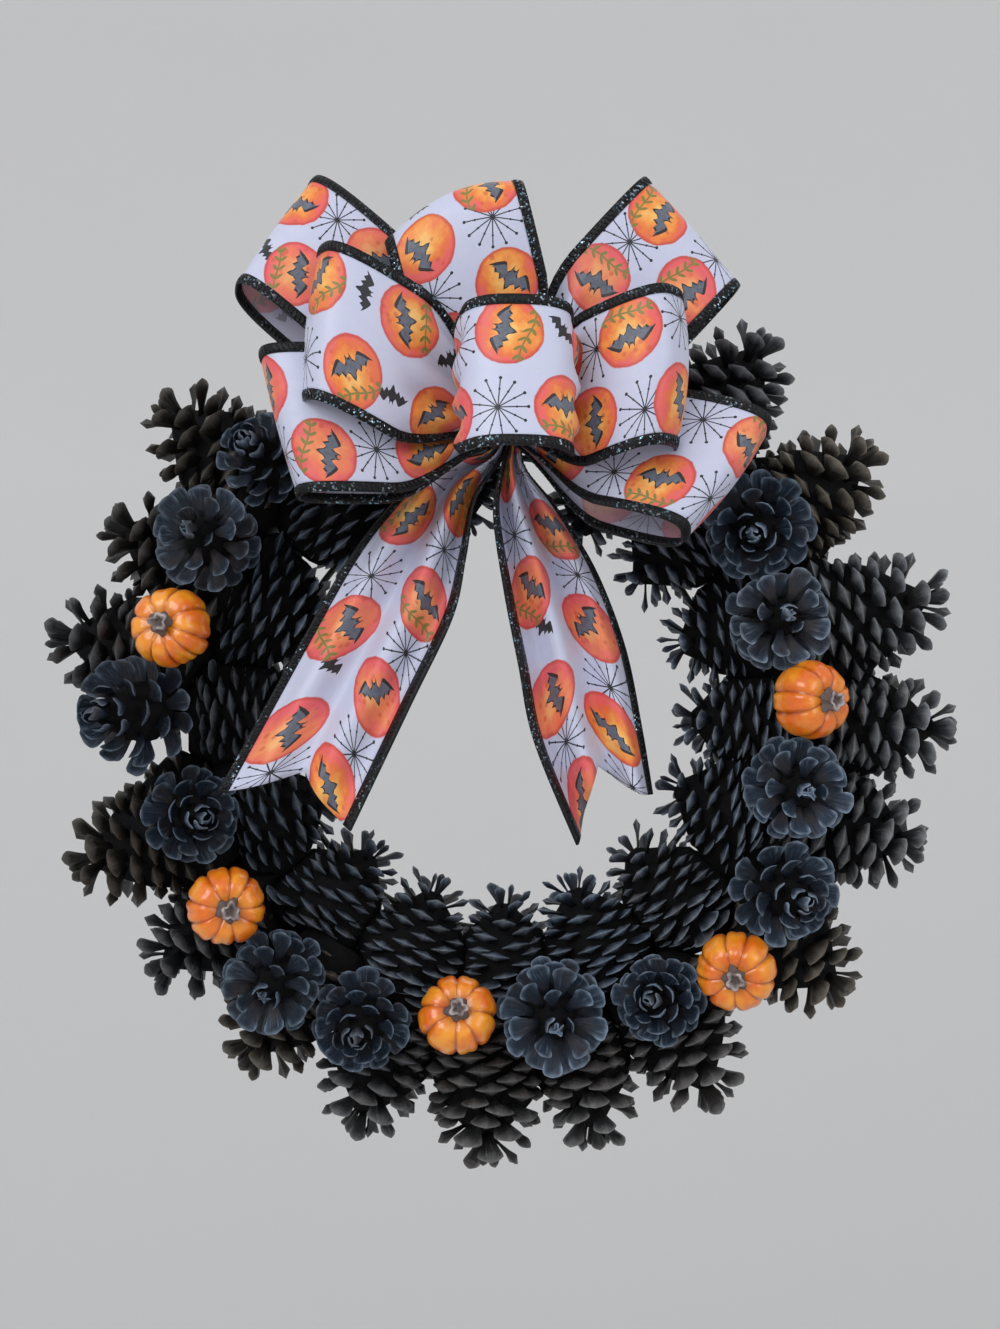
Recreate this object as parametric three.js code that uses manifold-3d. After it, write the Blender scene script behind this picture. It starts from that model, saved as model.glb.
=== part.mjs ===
// A hanging wreath of black-painted pinecones with small orange pumpkins and a printed ribbon bow.
// Millimetres, +Z up. The wreath hangs upright and faces -Y; its back lies on the plane y = 0.
// Its origin is the point of the frame that hangs on the wall hook.
import * as THREE from "three";
import { mergeVertices } from "three/addons/utils/BufferGeometryUtils.js";
import Module from "manifold-3d";

const wasm = await Module();
wasm.setup();

// Clear gap between pieces that touch
const GAP = 0.3;

// Welded wire frame
const RING_RADII = [112, 130, 148, 166];
const RING_WIRE = 3.4;
const RING_FRONT = -6.4;
const BAR_COUNT = 8;
const BAR_WIDTH = 5;
const BAR_THICK = 3.4;
const RING_STEPS = 30;

// Ribbon
const RIBBON_WIDTH = 63.5;
const RIBBON_THICK = 0.8;
const LOOP_STEPS = 13;

// Pinch of the bow, in wreath coordinates
const KNOT = new THREE.Vector3(3.6, -100, 129);

// Pinecones: number of points of the spiral, and the turn from each point to the next
const SPIRAL_POINTS = 38;
const GOLDEN_TURN = (137.508 * Math.PI) / 180;

// Outline of a lying cone: pairs of height and radius, as shares of its length and largest radius,
// for the core and for the scale tips, and how far the lowest and highest scales lean to the tip
const LYING = {
  core: [[0.02, 0.22], [0.12, 0.46], [0.3, 0.54], [0.55, 0.48], [0.78, 0.33], [0.93, 0.15]],
  tips: [[-0.1, 0.72], [0.1, 0.95], [0.3, 1.0], [0.55, 0.98], [0.75, 0.8], [0.92, 0.5], [1.05, 0.2]],
  leanLow: -0.04,
  leanHigh: 0.17,
};
// Outline of a standing cone, opened wider
const STANDING = {
  core: [[0.03, 0.2], [0.14, 0.42], [0.34, 0.5], [0.6, 0.42], [0.82, 0.27], [0.95, 0.12]],
  tips: [[-0.1, 0.8], [0.12, 0.97], [0.35, 1.0], [0.6, 0.9], [0.8, 0.68], [0.95, 0.42], [1.08, 0.16]],
  leanLow: -0.02,
  leanHigh: 0.2,
};

// Half width and half thickness of a scale's end, as shares of the cone's radius
const SCALE_HALF_WIDTH = 0.27;
const SCALE_HALF_THICK = 0.075;

// Each cone: base x, y, z, tip x, y, z, largest radius, turn about its own axis in degrees
const OUTER_CONES = [
  [-114.0, -31.5, 104.5, -165.6, -33.0, 151.8, 32.0, 148],
  [-131.7, -31.5, 64.2, -191.0, -33.0, 93.2, 32.0, 60],
  [-150.5, -31.5, 26.5, -219.4, -33.0, 38.7, 32.0, 144.5],
  [-142.7, -31.5, -51.9, -208.5, -33.0, -75.9, 32.0, 154],
  [-117.0, -31.5, -88.2, -169.7, -33.0, -127.9, 32.0, 223.5],
  [-86.7, -31.5, -119.3, -125.5, -33.0, -172.7, 32.0, 248],
  [-48.9, -31.5, -142.1, -70.4, -33.0, -204.5, 32.0, 295],
  [-5.4, -31.5, -153.9, -7.7, -33.0, -219.8, 32.0, 342],
  [33.8, -31.5, -146.4, 48.6, -33.0, -210.7, 32.0, 29],
  [73.7, -31.5, -133.0, 105.7, -33.0, -190.8, 32.0, 83.5],
  [118.2, -31.5, -95.7, 169.5, -33.0, -137.3, 32.0, 205.5],
  [142.9, -31.5, -46.4, 205.7, -33.0, -66.8, 32.0, 192.5],
  [150.8, -31.5, -5.3, 220.8, -33.0, -7.7, 32.0, 217],
  [148.7, -32.7, 39.7, 216.2, -34.2, 58.4, 32.0, 34.8],
  [125.9, -31.5, 88.2, 183.2, -33.0, 128.3, 32.0, 333.5],
  [90.3, -31.5, 126.7, 131.0, -33.0, 183.6, 32.0, 155.5],
  [27.1, -31.5, 139.3, 39.7, -33.0, 204.0, 30.0, 45],
  [-51.5, -31.5, 134.2, -75.2, -33.0, 195.8, 30.0, 92],
];
const INNER_CONES = [
  [102.1, -32.0, 98.6, 64.7, -30.0, 62.5, 27.0, 13],
  [133.4, -32.0, 48.6, 84.6, -30.0, 30.8, 27.0, 60],
  [141.9, -32.0, -5.0, 89.9, -30.0, -3.1, 27.0, 107],
  [130.7, -32.0, -55.5, 82.8, -30.0, -35.2, 27.0, 154],
  [96.8, -32.0, -103.9, 61.4, -30.0, -65.8, 27.0, 201],
  [53.2, -32.0, -131.7, 33.7, -30.0, -83.4, 27.0, 38],
  [2.5, -32.0, -142.0, 1.6, -30.0, -90.0, 27.0, 295],
  [-48.6, -32.0, -133.4, -30.8, -30.0, -84.6, 27.0, 342],
  [-95.0, -32.0, -105.5, -60.2, -30.0, -66.9, 27.0, 29],
  [-129.7, -32.0, -57.8, -82.2, -30.0, -36.6, 27.0, 136],
  [-142.0, -32.0, 0.0, -90.0, -30.0, 0.0, 27.0, 123],
  [-129.7, -32.0, 57.8, -82.2, -30.0, 36.6, 27.0, 170],
  [-87.4, -32.0, 111.9, -55.4, -30.0, 70.9, 27.0, 217],
  [-24.7, -32.0, 139.8, -16.0, -30.0, 90.6, 24.0, 294],
  [57.8, -32.0, 129.7, 37.4, -30.0, 84.0, 24.0, 326],
];
const FRONT_CONES = [
  [-135.3, -54.0, 81.0, -141.4, -94.3, 85.9, 26.7, 58],
  [-165.8, -54.0, 0.9, -184.6, -98.6, 1.8, 31.5, 75],
  [-108.2, -54.0, 117.4, -117.9, -88.8, 127.8, 24.5, 152],
  [-150.3, -52.0, -47.8, -134.7, -89.2, -47.1, 26.3, 244],
  [-105.4, -54.0, -123.8, -107.4, -94.1, -127.0, 26.3, 291],
  [-65.6, -54.0, -144.8, -65.6, -94.9, -146.9, 26.7, 308],
  [24.4, -54.0, -141.0, 25.7, -96.3, -141.0, 27.6, 325],
  [78.3, -52.5, -137.8, 68.6, -87.3, -130.1, 24.1, 357],
  [131.4, -54.0, -82.5, 139.8, -96.1, -84.6, 28.0, 269],
  [138.0, -54.0, -34.9, 140.0, -94.3, -34.9, 26.3, 316],
  [131.4, -50.4, 44.2, 131.4, -91.3, 46.3, 26.7, 263.1],
  [124.3, -54.0, 90.0, 113.7, -96.4, 82.4, 28.9, 170],
];

// Each pumpkin: bottom x, y, z, top x, y, z, radius, turn, and how far scales come into its grooves
const PUMPKINS = [
  [-149.0, -66.6, 39.1, -154.8, -96.6, 42.8, 19.2, 205.3, 1.5],
  [-131.5, -63.8, -88.6, -123.4, -93.2, -88.6, 19.0, 243.8, 0.6],
  [-19.7, -64.4, -145.6, -19.7, -92.2, -133.1, 19.0, 127.3, 1.1],
  [112.6, -65.0, -117.4, 106.0, -95.0, -119.6, 19.2, 154, 0.81],
  [136.8, -66.9, 7.2, 151.5, -93.1, 7.2, 18.8, 201, 1.5],
];

// Each bow loop: far end x, y, z, half opening, then turn of the ribbon about the loop's own length,
// how much further one edge reaches, where it reaches full width, how round its end is, opening side
const LOOPS = [
  { end: [-101.2, -100, 216.6], open: 20, roll: 18, lean: 0.15, spread: 0.6, blunt: 1.5, side: [0, -1, 0] },
  { end: [-78.6, -140, 168.8], open: 20, roll: 8, lean: 0.31, spread: 0.6, blunt: 1.5, side: [0, -1, 0] },
  { end: [-95, -128, 127.9], open: 17, roll: 5, lean: 0.24, spread: 0.6, blunt: 1.5, side: [0, -1, 0] },
  { end: [-20.5, -118, 221.5], open: 20, roll: 0, lean: 0.16, spread: 0.6, blunt: 1.5, side: [0, -1, 0] },
  { end: [8.1, -172, 142.8], open: 29, roll: 0, lean: 0, spread: 0.9, blunt: 1.3, side: [1, 0, 0] },
  { end: [86, -100, 217], open: 20, roll: 0, lean: -0.1, spread: 0.6, blunt: 1.5, side: [0, -1, 0] },
  { end: [72.4, -142, 149.7], open: 20, roll: -8, lean: -0.3, spread: 0.6, blunt: 1.5, side: [0, -1, 0] },
  { end: [99.2, -120, 104.5], open: 17, roll: -20, lean: -0.36, spread: 0.6, blunt: 1.5, side: [0, -1, 0] },
];

// Tails: pairs of points on the left and right edge, from the pinch to the cut end, then the notch
const LEFT_TAIL = {
  edges: [
    [[-2, -86.2, 124.6], [3.3, -86.2, 124.6]],
    [[-2, -91.5, 124.6], [3.3, -91.5, 124.6]],
    [[-9, -94, 119], [0.5, -94, 116]],
    [[-30, -93, 116], [-11, -94, 99]],
    [[-52, -93, 94], [-16, -95, 72]],
    [[-69.5, -94, 70.9], [-22, -96, 45]],
    [[-93, -96, 29], [-41, -97, 5]],
    [[-127.3, -99, -34.1], [-67.7, -99, -51.3]],
  ],
  notch: [-82.1, -99, -23.3],
};
const RIGHT_TAIL = {
  edges: [
    [[3.9, -86.2, 124.6], [9.2, -86.2, 124.6]],
    [[3.9, -91.5, 124.6], [9.2, -91.5, 124.6]],
    [[0.9, -95.6, 112], [11.5, -93, 113]],
    [[-2.5, -93.5, 92], [26, -88, 96]],
    [[2.3, -93, 57.3], [44, -82, 68]],
    [[9, -92, 23], [58, -79, 32]],
    [[15.9, -90, -10.9], [66, -78, -6]],
    [[35.4, -85, -58.5], [71.3, -78, -37.5]],
  ],
  notch: [41.8, -83, -22.8],
};

// Wire tie: a band round the pinch and a leg back to the second ring of the frame
const TIE_CENTRE = [3.6, 127.6];
const TIE_INNER = 7.0;
const TIE_OUTER = 9.3;
const TIE_FRONT = -90;
const TIE_BACK = -87;
const LEG_RADIUS = 1;

// Surfaces
function paint(color, roughness, metalness) {
  return new THREE.MeshStandardMaterial({ color, roughness, metalness, flatShading: true });
}
const coneBlack = paint(0x16191d, 0.55, 0);
const wireGreen = paint(0x1d2a1f, 0.5, 0.6);
const pumpkinOrange = paint(0xd9621a, 0.3, 0);
const stemBrown = paint(0x6b5d4c, 0.75, 0);
const ribbonPrint = paint(0xd8d2d8, 0.45, 0);
const tieWire = paint(0x24282a, 0.45, 0.7);

// A closed body from a list of points and a list of triangles
function bodyFrom(points, faces) {
  const geometry = new THREE.BufferGeometry();
  geometry.setAttribute("position", new THREE.Float32BufferAttribute(points.flat(), 3));
  geometry.setIndex(faces.flat());
  return geometry;
}

// A three.js shape as a solid that can be joined
function solidFrom(geometry) {
  const plain = geometry.clone();
  plain.deleteAttribute("normal");
  plain.deleteAttribute("uv");
  const merged = mergeVertices(plain, 1e-4);
  return new wasm.Manifold(
    new wasm.Mesh({
      numProp: 3,
      vertProperties: new Float32Array(merged.attributes.position.array),
      triVerts: new Uint32Array(merged.index.array),
    }),
  );
}

function geometryFrom(solid) {
  const mesh = solid.getMesh();
  const geometry = new THREE.BufferGeometry();
  geometry.setAttribute("position", new THREE.BufferAttribute(new Float32Array(mesh.vertProperties), 3));
  geometry.setIndex(Array.from(mesh.triVerts));
  return geometry;
}

// Value of a table of [place, value] pairs at a place between them
function along(table, place) {
  if (place <= table[0][0]) return table[0][1];
  for (let i = 1; i < table.length; i += 1) {
    const [p0, v0] = table[i - 1];
    const [p1, v1] = table[i];
    if (place <= p1) return v0 + ((v1 - v0) * (place - p0)) / (p1 - p0);
  }
  return table[table.length - 1][1];
}

// A round body on an axis: where it stands, which way it points, and its outline
function roundBody(base, tip, radius, outline) {
  const origin = new THREE.Vector3(...base);
  const axis = new THREE.Vector3(...tip).sub(origin);
  const length = axis.length();
  axis.normalize();
  return { origin, axis, length, radius, outline: outline.map(([h, r]) => [h * length, r * radius]) };
}

// Point of a round body that lies furthest along a direction
function furthest(body, direction) {
  const rise = direction.dot(body.axis);
  const across = direction.clone().addScaledVector(body.axis, -rise);
  const slope = across.length();
  let best = -Infinity;
  let pick = body.outline[0];
  for (const [h, r] of body.outline) {
    const value = h * rise + r * slope;
    if (value > best) {
      best = value;
      pick = [h, r];
    }
  }
  const point = body.origin.clone().addScaledVector(body.axis, pick[0]);
  return slope > 1e-9 ? point.addScaledVector(across, pick[1] / slope) : point;
}

function middleOf(body) {
  return body.origin.clone().addScaledVector(body.axis, body.length / 2);
}

// The flat surface halfway between two round bodies that don't touch
function planeBetween(a, b) {
  const offset = middleOf(a).sub(middleOf(b));
  let normal = offset.clone().normalize();
  let widest = -Infinity;
  for (let turn = 0; turn < 160; turn += 1) {
    const size = offset.length();
    const unit = offset.clone().divideScalar(size);
    const step = furthest(a, unit.clone().negate()).sub(furthest(b, unit));
    const width = unit.dot(step);
    if (width > widest) {
      widest = width;
      normal = unit;
    }
    if (size - width < 1e-3) break;
    const change = step.sub(offset);
    const share = Math.min(1, Math.max(0, -offset.dot(change) / change.lengthSq()));
    if (share < 1e-8) break;
    offset.addScaledVector(change, share);
  }
  const sideA = normal.dot(furthest(a, normal.clone().negate()));
  const sideB = normal.dot(furthest(b, normal));
  return { normal, sideA, sideB };
}

// Is a point within the space that a neighbour's scales fill
function nearBody(point, body, outline, margin) {
  const offset = point.clone().sub(body.origin);
  const h = offset.dot(body.axis);
  const r = offset.addScaledVector(body.axis, -h).length();
  const place = h / body.length;
  if (h < outline[0][0] * body.length - margin) return false;
  if (h > outline[outline.length - 1][0] * body.length + margin) return false;
  return r < along(outline, place) * body.radius + margin;
}

// Every body that takes up room, so that scales can keep to their own side of it
const cones = [];
function addCones(prefix, rows, kind) {
  rows.forEach((row, i) => {
    const [bx, by, bz, tx, ty, tz, radius, turn] = row;
    const body = roundBody([bx, by, bz], [tx, ty, tz], radius, kind.core);
    const number = String(i + 1).padStart(2, "0");
    cones.push({ name: `${prefix}_${number}`, kind, body, turn: (turn * Math.PI) / 180 });
  });
}
addCones("cone_outer", OUTER_CONES, LYING);
addCones("cone_inner", INNER_CONES, LYING);
addCones("cone_front", FRONT_CONES, STANDING);

const PUMPKIN_OUTLINE = [];
for (let i = 0; i <= 8; i += 1) {
  const angle = (Math.PI * i) / 8;
  PUMPKIN_OUTLINE.push([0.5 - 0.5 * Math.cos(angle), Math.sin(angle) ** 0.75]);
}
const pumpkins = PUMPKINS.map(([bx, by, bz, tx, ty, tz, radius, turn, dip], i) => ({
  dip,
  name: `pumpkin_${i + 1}`,
  body: roundBody([bx, by, bz], [tx, ty, tz], radius, PUMPKIN_OUTLINE),
  turn: (turn * Math.PI) / 180,
}));
const leg = roundBody(
  [TIE_CENTRE[0], -1, KNOT.z + 3],
  [TIE_CENTRE[0], -92, KNOT.z + 3],
  1,
  [[0, 5], [0.9, 6], [1, 10.5]],
);

// The walls that a cone's scales keep clear of: where they stand and whose room they bound
function wallsOf(cone) {
  const walls = [];
  for (const other of cones) {
    if (other === cone) continue;
    const reach = cone.body.length / 2 + other.body.length / 2 + 45;
    if (middleOf(cone.body).distanceTo(middleOf(other.body)) > reach) continue;
    const { normal, sideA, sideB } = planeBetween(cone.body, other.body);
    const limit = (sideA + sideB) / 2 + GAP / 2;
    walls.push({ normal, limit, body: other.body, outline: other.kind.tips, margin: 4 });
  }
  for (const other of pumpkins) {
    const { normal, sideB } = planeBetween(cone.body, other.body);
    const limit = sideB + GAP - other.dip;
    walls.push({ normal, limit, body: other.body, outline: PUMPKIN_OUTLINE, margin: 5 });
  }
  const { normal, sideB } = planeBetween(cone.body, leg);
  walls.push({ normal, limit: sideB + GAP, body: leg, outline: [[0, 4.5], [1, 10.5]], margin: 3 });
  return walls;
}

// Pull a scale's point back toward its root until it is clear
function clearPoint(root, point, walls, reach) {
  let share = 1;
  const line = point.clone().sub(root);
  for (const wall of walls) {
    if (!wall.near) continue;
    const start = wall.normal.dot(root) - wall.limit;
    const slope = wall.normal.dot(line);
    if (start + slope * share < 0 && slope < 0) share = Math.max(0.02, Math.min(share, -start / slope));
  }
  if (root.y + line.y * share > reach && line.y > 0) {
    share = Math.max(0.02, Math.min(share, (reach - root.y) / line.y));
  }
  return root.clone().addScaledVector(line, share);
}

// One pinecone: a core covered by a spiral of scales, each raised from its own four-cornered patch
function pinecone(cone) {
  const { body, kind, turn } = cone;
  const side = new THREE.Vector3(0, 0, 1);
  if (Math.abs(body.axis.z) > 0.8) side.set(1, 0, 0);
  const e1 = side.clone().cross(body.axis).normalize();
  const e2 = body.axis.clone().cross(e1);
  const radial = (angle) =>
    e1.clone().multiplyScalar(Math.cos(angle)).addScaledVector(e2, Math.sin(angle));
  const place = (h, r, angle) =>
    body.origin.clone().addScaledVector(body.axis, h * body.length)
      .addScaledVector(radial(angle), r * body.radius);
  const last = SPIRAL_POINTS - 1;
  const points = [];
  const spiral = [];
  for (let k = 0; k <= last; k += 1) {
    const h = 0.03 + (0.92 * k) / last;
    const angle = turn + k * GOLDEN_TURN;
    spiral.push({ h, angle });
    points.push(place(h, along(kind.core, h), angle));
  }
  const faces = [];
  const walls = wallsOf(cone);
  for (let n = 0; n + 13 <= last; n += 1) {
    const patch = [n, n + 8, n + 13, n + 5];
    const root = new THREE.Vector3();
    for (const k of patch) root.addScaledVector(points[k], 0.25);
    const h = (spiral[n].h + spiral[n + 13].h) / 2;
    const angle = spiral[n].angle - (6.2 * Math.PI) / 180;
    const lean = kind.leanLow + (kind.leanHigh - kind.leanLow) * h;
    const tip = place(h + lean, along(kind.tips, h + lean), angle);
    const across = body.axis.clone().cross(radial(angle)).normalize();
    const out = tip.clone().sub(root).normalize();
    const up = out.clone().cross(across).normalize();
    const width = SCALE_HALF_WIDTH * body.radius * Math.min(1, 0.35 + 1.6 * (1 - h));
    const thick = SCALE_HALF_THICK * body.radius;
    const corners = [
      tip.clone().addScaledVector(up, -thick),
      tip.clone().addScaledVector(across, width),
      tip.clone().addScaledVector(up, thick),
      tip.clone().addScaledVector(across, -width),
    ];
    const samples = [...corners, tip.clone().lerp(root, 0.25), tip.clone().lerp(root, 0.5)];
    for (const wall of walls) {
      wall.near = samples.some((p) => nearBody(p, wall.body, wall.outline, wall.margin));
    }
    const first = points.length;
    for (const corner of corners) points.push(clearPoint(root, corner, walls, RING_FRONT - GAP));
    for (let i = 0; i < 4; i += 1) {
      const j = (i + 1) % 4;
      faces.push([patch[i], patch[j], first + j], [patch[i], first + j, first + i]);
    }
    faces.push([first, first + 1, first + 2], [first, first + 2, first + 3]);
  }
  const bottom = points.length;
  points.push(place(0.0, 0, 0));
  points.push(place(0.985, 0, 0));
  for (let k = 0; k < 5; k += 1) {
    faces.push([bottom, k + 8, k], [bottom + 1, last - k - 8, last - k]);
  }
  for (let k = 0; k < 8; k += 1) {
    faces.push([bottom, k, k + 5], [bottom + 1, last - k, last - k - 5]);
  }
  return bodyFrom(points.map((p) => p.toArray()), faces);
}

// A small pumpkin: eight lobes round a dimple at each end
function pumpkin({ body, turn }) {
  const rings = [0.1, 0.3, 0.5, 0.7, 0.9];
  const around = 16;
  const points = [];
  const faces = [];
  const e1 = new THREE.Vector3(0, 0, 1).cross(body.axis).normalize();
  const e2 = body.axis.clone().cross(e1);
  const put = (h, r, angle) => {
    const point = body.origin.clone().addScaledVector(body.axis, h * body.length);
    point.addScaledVector(e1, r * body.radius * Math.cos(angle));
    point.addScaledVector(e2, r * body.radius * Math.sin(angle));
    points.push(point.toArray());
  };
  put(0.07, 0, 0);
  for (let i = 0; i < around; i += 1) put(0.07, 0.16, turn + (i * 2 * Math.PI) / around);
  for (const place of rings) {
    const swell = Math.sin(Math.PI * (0.08 + 0.84 * place)) ** 0.6;
    for (let i = 0; i < around; i += 1) {
      const lobe = i % 2 === 0 ? 1 : 0.9;
      const reach = place === 0.1 || place === 0.9 ? 0.86 : 1;
      const h = 0.03 + 0.94 * place * reach + (1 - reach) * 0.47;
      put(h, swell * lobe * reach, turn + (i * 2 * Math.PI) / around);
    }
  }
  for (let i = 0; i < around; i += 1) put(0.93, 0.16, turn + (i * 2 * Math.PI) / around);
  put(0.93, 0, 0);
  const rows = rings.length + 2;
  for (let row = 0; row + 1 < rows; row += 1) {
    for (let i = 0; i < around; i += 1) {
      const a = 1 + row * around + i;
      const b = 1 + row * around + ((i + 1) % around);
      faces.push([a, b, b + around], [a, b + around, a + around]);
    }
  }
  const top = points.length - 1;
  for (let i = 0; i < around; i += 1) {
    const j = (i + 1) % around;
    faces.push([0, 1 + j, 1 + i], [top, top - around + i, top - around + j]);
  }
  return bodyFrom(points, faces);
}

// The stem is short and wide, stands in the top dimple and leans a little
function stem({ body }) {
  const sides = 6;
  const points = [];
  const faces = [];
  const e1 = new THREE.Vector3(0, 0, 1).cross(body.axis).normalize();
  const e2 = body.axis.clone().cross(e1);
  const seat = 0.93 * body.length + GAP;
  const rows = [[0, 4.3, 0], [1.6, 3.7, 0.2], [4.8, 4.0, 0.8]];
  for (const [h, r, lean] of rows) {
    for (let i = 0; i < sides; i += 1) {
      const angle = (i * 2 * Math.PI) / sides;
      const point = body.origin.clone().addScaledVector(body.axis, seat + h);
      point.addScaledVector(e1, r * Math.cos(angle) + lean);
      point.addScaledVector(e2, r * Math.sin(angle));
      points.push(point.toArray());
    }
  }
  for (let row = 0; row < 2; row += 1) {
    for (let i = 0; i < sides; i += 1) {
      const a = row * sides + i;
      const b = row * sides + ((i + 1) % sides);
      faces.push([a, b, b + sides], [a, b + sides, a + sides]);
    }
  }
  for (let i = 1; i + 1 < sides; i += 1) {
    faces.push([0, i + 1, i], [2 * sides, 2 * sides + i, 2 * sides + i + 1]);
  }
  return bodyFrom(points, faces);
}

// Frame: square-section rings welded to flat crossbars
function frame() {
  let solid = null;
  const join = (geometry) => {
    const piece = solidFrom(geometry);
    solid = solid ? solid.add(piece) : piece;
  };
  const back = RING_FRONT + RING_WIRE;
  for (const radius of RING_RADII) {
    const half = RING_WIRE / 2;
    const outline = [
      new THREE.Vector2(radius - half, RING_FRONT),
      new THREE.Vector2(radius + half, RING_FRONT),
      new THREE.Vector2(radius + half, back),
      new THREE.Vector2(radius - half, back),
      new THREE.Vector2(radius - half, RING_FRONT),
    ];
    join(new THREE.LatheGeometry(outline, RING_STEPS));
  }
  const inner = RING_RADII[0] - RING_WIRE / 2 - 1;
  const outer = RING_RADII[RING_RADII.length - 1] + RING_WIRE / 2 + 1;
  for (let i = 0; i < BAR_COUNT; i += 1) {
    const angle = ((i + 0.5) * 2 * Math.PI) / BAR_COUNT;
    const bar = new THREE.BoxGeometry(outer - inner, BAR_THICK, BAR_WIDTH);
    bar.translate((inner + outer) / 2, -BAR_THICK / 2, 0);
    bar.rotateY(-angle);
    join(bar);
  }
  return geometryFrom(solid);
}

// A flat strip between two rows of edge points, with an optional notch cut into its far end
function strip(edges, thick, notch) {
  const rows = edges.map(([left, right]) => [new THREE.Vector3(...left), new THREE.Vector3(...right)]);
  const points = [];
  const faces = [];
  const normals = rows.map((row, i) => {
    const before = rows[Math.max(0, i - 1)];
    const after = rows[Math.min(rows.length - 1, i + 1)];
    const run = after[0].clone().add(after[1]).sub(before[0]).sub(before[1]);
    return row[1].clone().sub(row[0]).cross(run).normalize();
  });
  const add = (point, normal, side) => {
    points.push(point.clone().addScaledVector(normal, (side * thick) / 2).toArray());
    return points.length - 1;
  };
  const corners = rows.map(([left, right], i) => {
    const n = normals[i];
    return [add(left, n, 1), add(right, n, 1), add(right, n, -1), add(left, n, -1)];
  });
  for (let i = 0; i + 1 < corners.length; i += 1) {
    const a = corners[i];
    const b = corners[i + 1];
    if (notch && i + 2 === corners.length) break;
    for (let j = 0; j < 4; j += 1) {
      const k = (j + 1) % 4;
      faces.push([a[j], a[k], b[k]], [a[j], b[k], b[j]]);
    }
  }
  const [a, b, c, d] = corners[0];
  faces.push([a, c, b], [a, d, c]);
  const e = corners[corners.length - 1];
  if (!notch) {
    faces.push([e[0], e[1], e[2]], [e[0], e[2], e[3]]);
    return bodyFrom(points, faces);
  }
  const s = corners[corners.length - 2];
  const n = normals[normals.length - 1];
  const cut = new THREE.Vector3(...notch);
  const front = add(cut, n, 1);
  const back = add(cut, n, -1);
  faces.push([s[0], s[1], front], [s[0], front, e[0]], [s[1], e[1], front]);
  faces.push([s[3], back, s[2]], [s[3], e[3], back], [s[2], back, e[2]]);
  faces.push([s[1], s[2], e[2]], [s[1], e[2], e[1]]);
  faces.push([s[3], s[0], e[0]], [s[3], e[0], e[3]]);
  faces.push([front, e[1], e[2]], [front, e[2], back]);
  faces.push([e[0], front, back], [e[0], back, e[3]]);
  return bodyFrom(points, faces);
}

// One loop of ribbon, which leaves the pinch and comes back to it
function loopOf(loop) {
  const reach = new THREE.Vector3(...loop.end).sub(KNOT);
  const length = reach.length();
  const u = reach.normalize();
  const facing = new THREE.Vector3(...loop.side);
  const v0 = facing.addScaledVector(u, -facing.dot(u)).normalize();
  const w0 = u.clone().cross(v0);
  const roll = (loop.roll * Math.PI) / 180;
  const v = v0.clone().multiplyScalar(Math.cos(roll)).addScaledVector(w0, Math.sin(roll));
  const w = v0.clone().multiplyScalar(-Math.sin(roll)).addScaledVector(w0, Math.cos(roll));
  const edges = [];
  for (let i = 0; i <= LOOP_STEPS; i += 1) {
    const angle = (2 * Math.PI * i) / LOOP_STEPS;
    const out = 1 - ((1 + Math.cos(angle)) / 2) ** loop.blunt;
    const puff = Math.sin(angle) * Math.abs(Math.sin(angle / 2)) ** 0.8;
    const opened = THREE.MathUtils.smoothstep(out, 0, loop.spread);
    const half = (RIBBON_WIDTH / 2) * (0.15 + 0.85 * opened);
    const pair = [-1, 1].map((side) => {
      const far = length * out + (loop.lean * out * side * RIBBON_WIDTH) / 2;
      return KNOT.clone().addScaledVector(u, far)
        .addScaledVector(v, loop.open * puff)
        .addScaledVector(w, half * side)
        .toArray();
    });
    edges.push(pair);
  }
  return strip(edges, RIBBON_THICK, null);
}

// Eight loops joined at the pinch, with a short neck behind that the tie grips
function bowLoops() {
  const outline = [[0, -84.5], [4, -84.5], [4, -91.5], [8.5, -96], [9.5, -102], [5, -108], [0, -109.5]];
  const pinch = new THREE.LatheGeometry(outline.map(([r, y]) => new THREE.Vector2(r, y)).reverse(), 10);
  pinch.translate(KNOT.x, 0, KNOT.z + 1);
  let solid = solidFrom(pinch);
  for (const loop of LOOPS) solid = solid.add(solidFrom(loopOf(loop)));
  return geometryFrom(solid);
}

// A round wire along a line of points that lie in the plane x = 0
function wire(line, radius, sides) {
  const points = [];
  const faces = [];
  const spots = line.map(([y, z]) => new THREE.Vector2(y, z));
  spots.forEach((spot, i) => {
    const before = spots[Math.max(0, i - 1)];
    const after = spots[Math.min(spots.length - 1, i + 1)];
    const d0 = spot.clone().sub(before).normalize();
    const d1 = after.clone().sub(spot).normalize();
    const run = d0.clone().add(d1).normalize();
    const normal = new THREE.Vector2(-run.y, run.x);
    const stretch = i === 0 || i === spots.length - 1 ? 1 : 1 / Math.max(0.5, run.dot(d1));
    for (let k = 0; k < sides; k += 1) {
      const angle = ((k + 0.5) * 2 * Math.PI) / sides;
      const off = radius * Math.cos(angle) * stretch;
      points.push([radius * Math.sin(angle), spot.x + normal.x * off, spot.y + normal.y * off]);
    }
  });
  for (let i = 0; i + 1 < spots.length; i += 1) {
    for (let k = 0; k < sides; k += 1) {
      const a = i * sides + k;
      const b = i * sides + ((k + 1) % sides);
      faces.push([a, b, b + sides], [a, b + sides, a + sides]);
    }
  }
  const end = (spots.length - 1) * sides;
  for (let k = 1; k + 1 < sides; k += 1) {
    faces.push([0, k + 1, k], [end, end + k, end + k + 1]);
  }
  return bodyFrom(points, faces);
}

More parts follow.
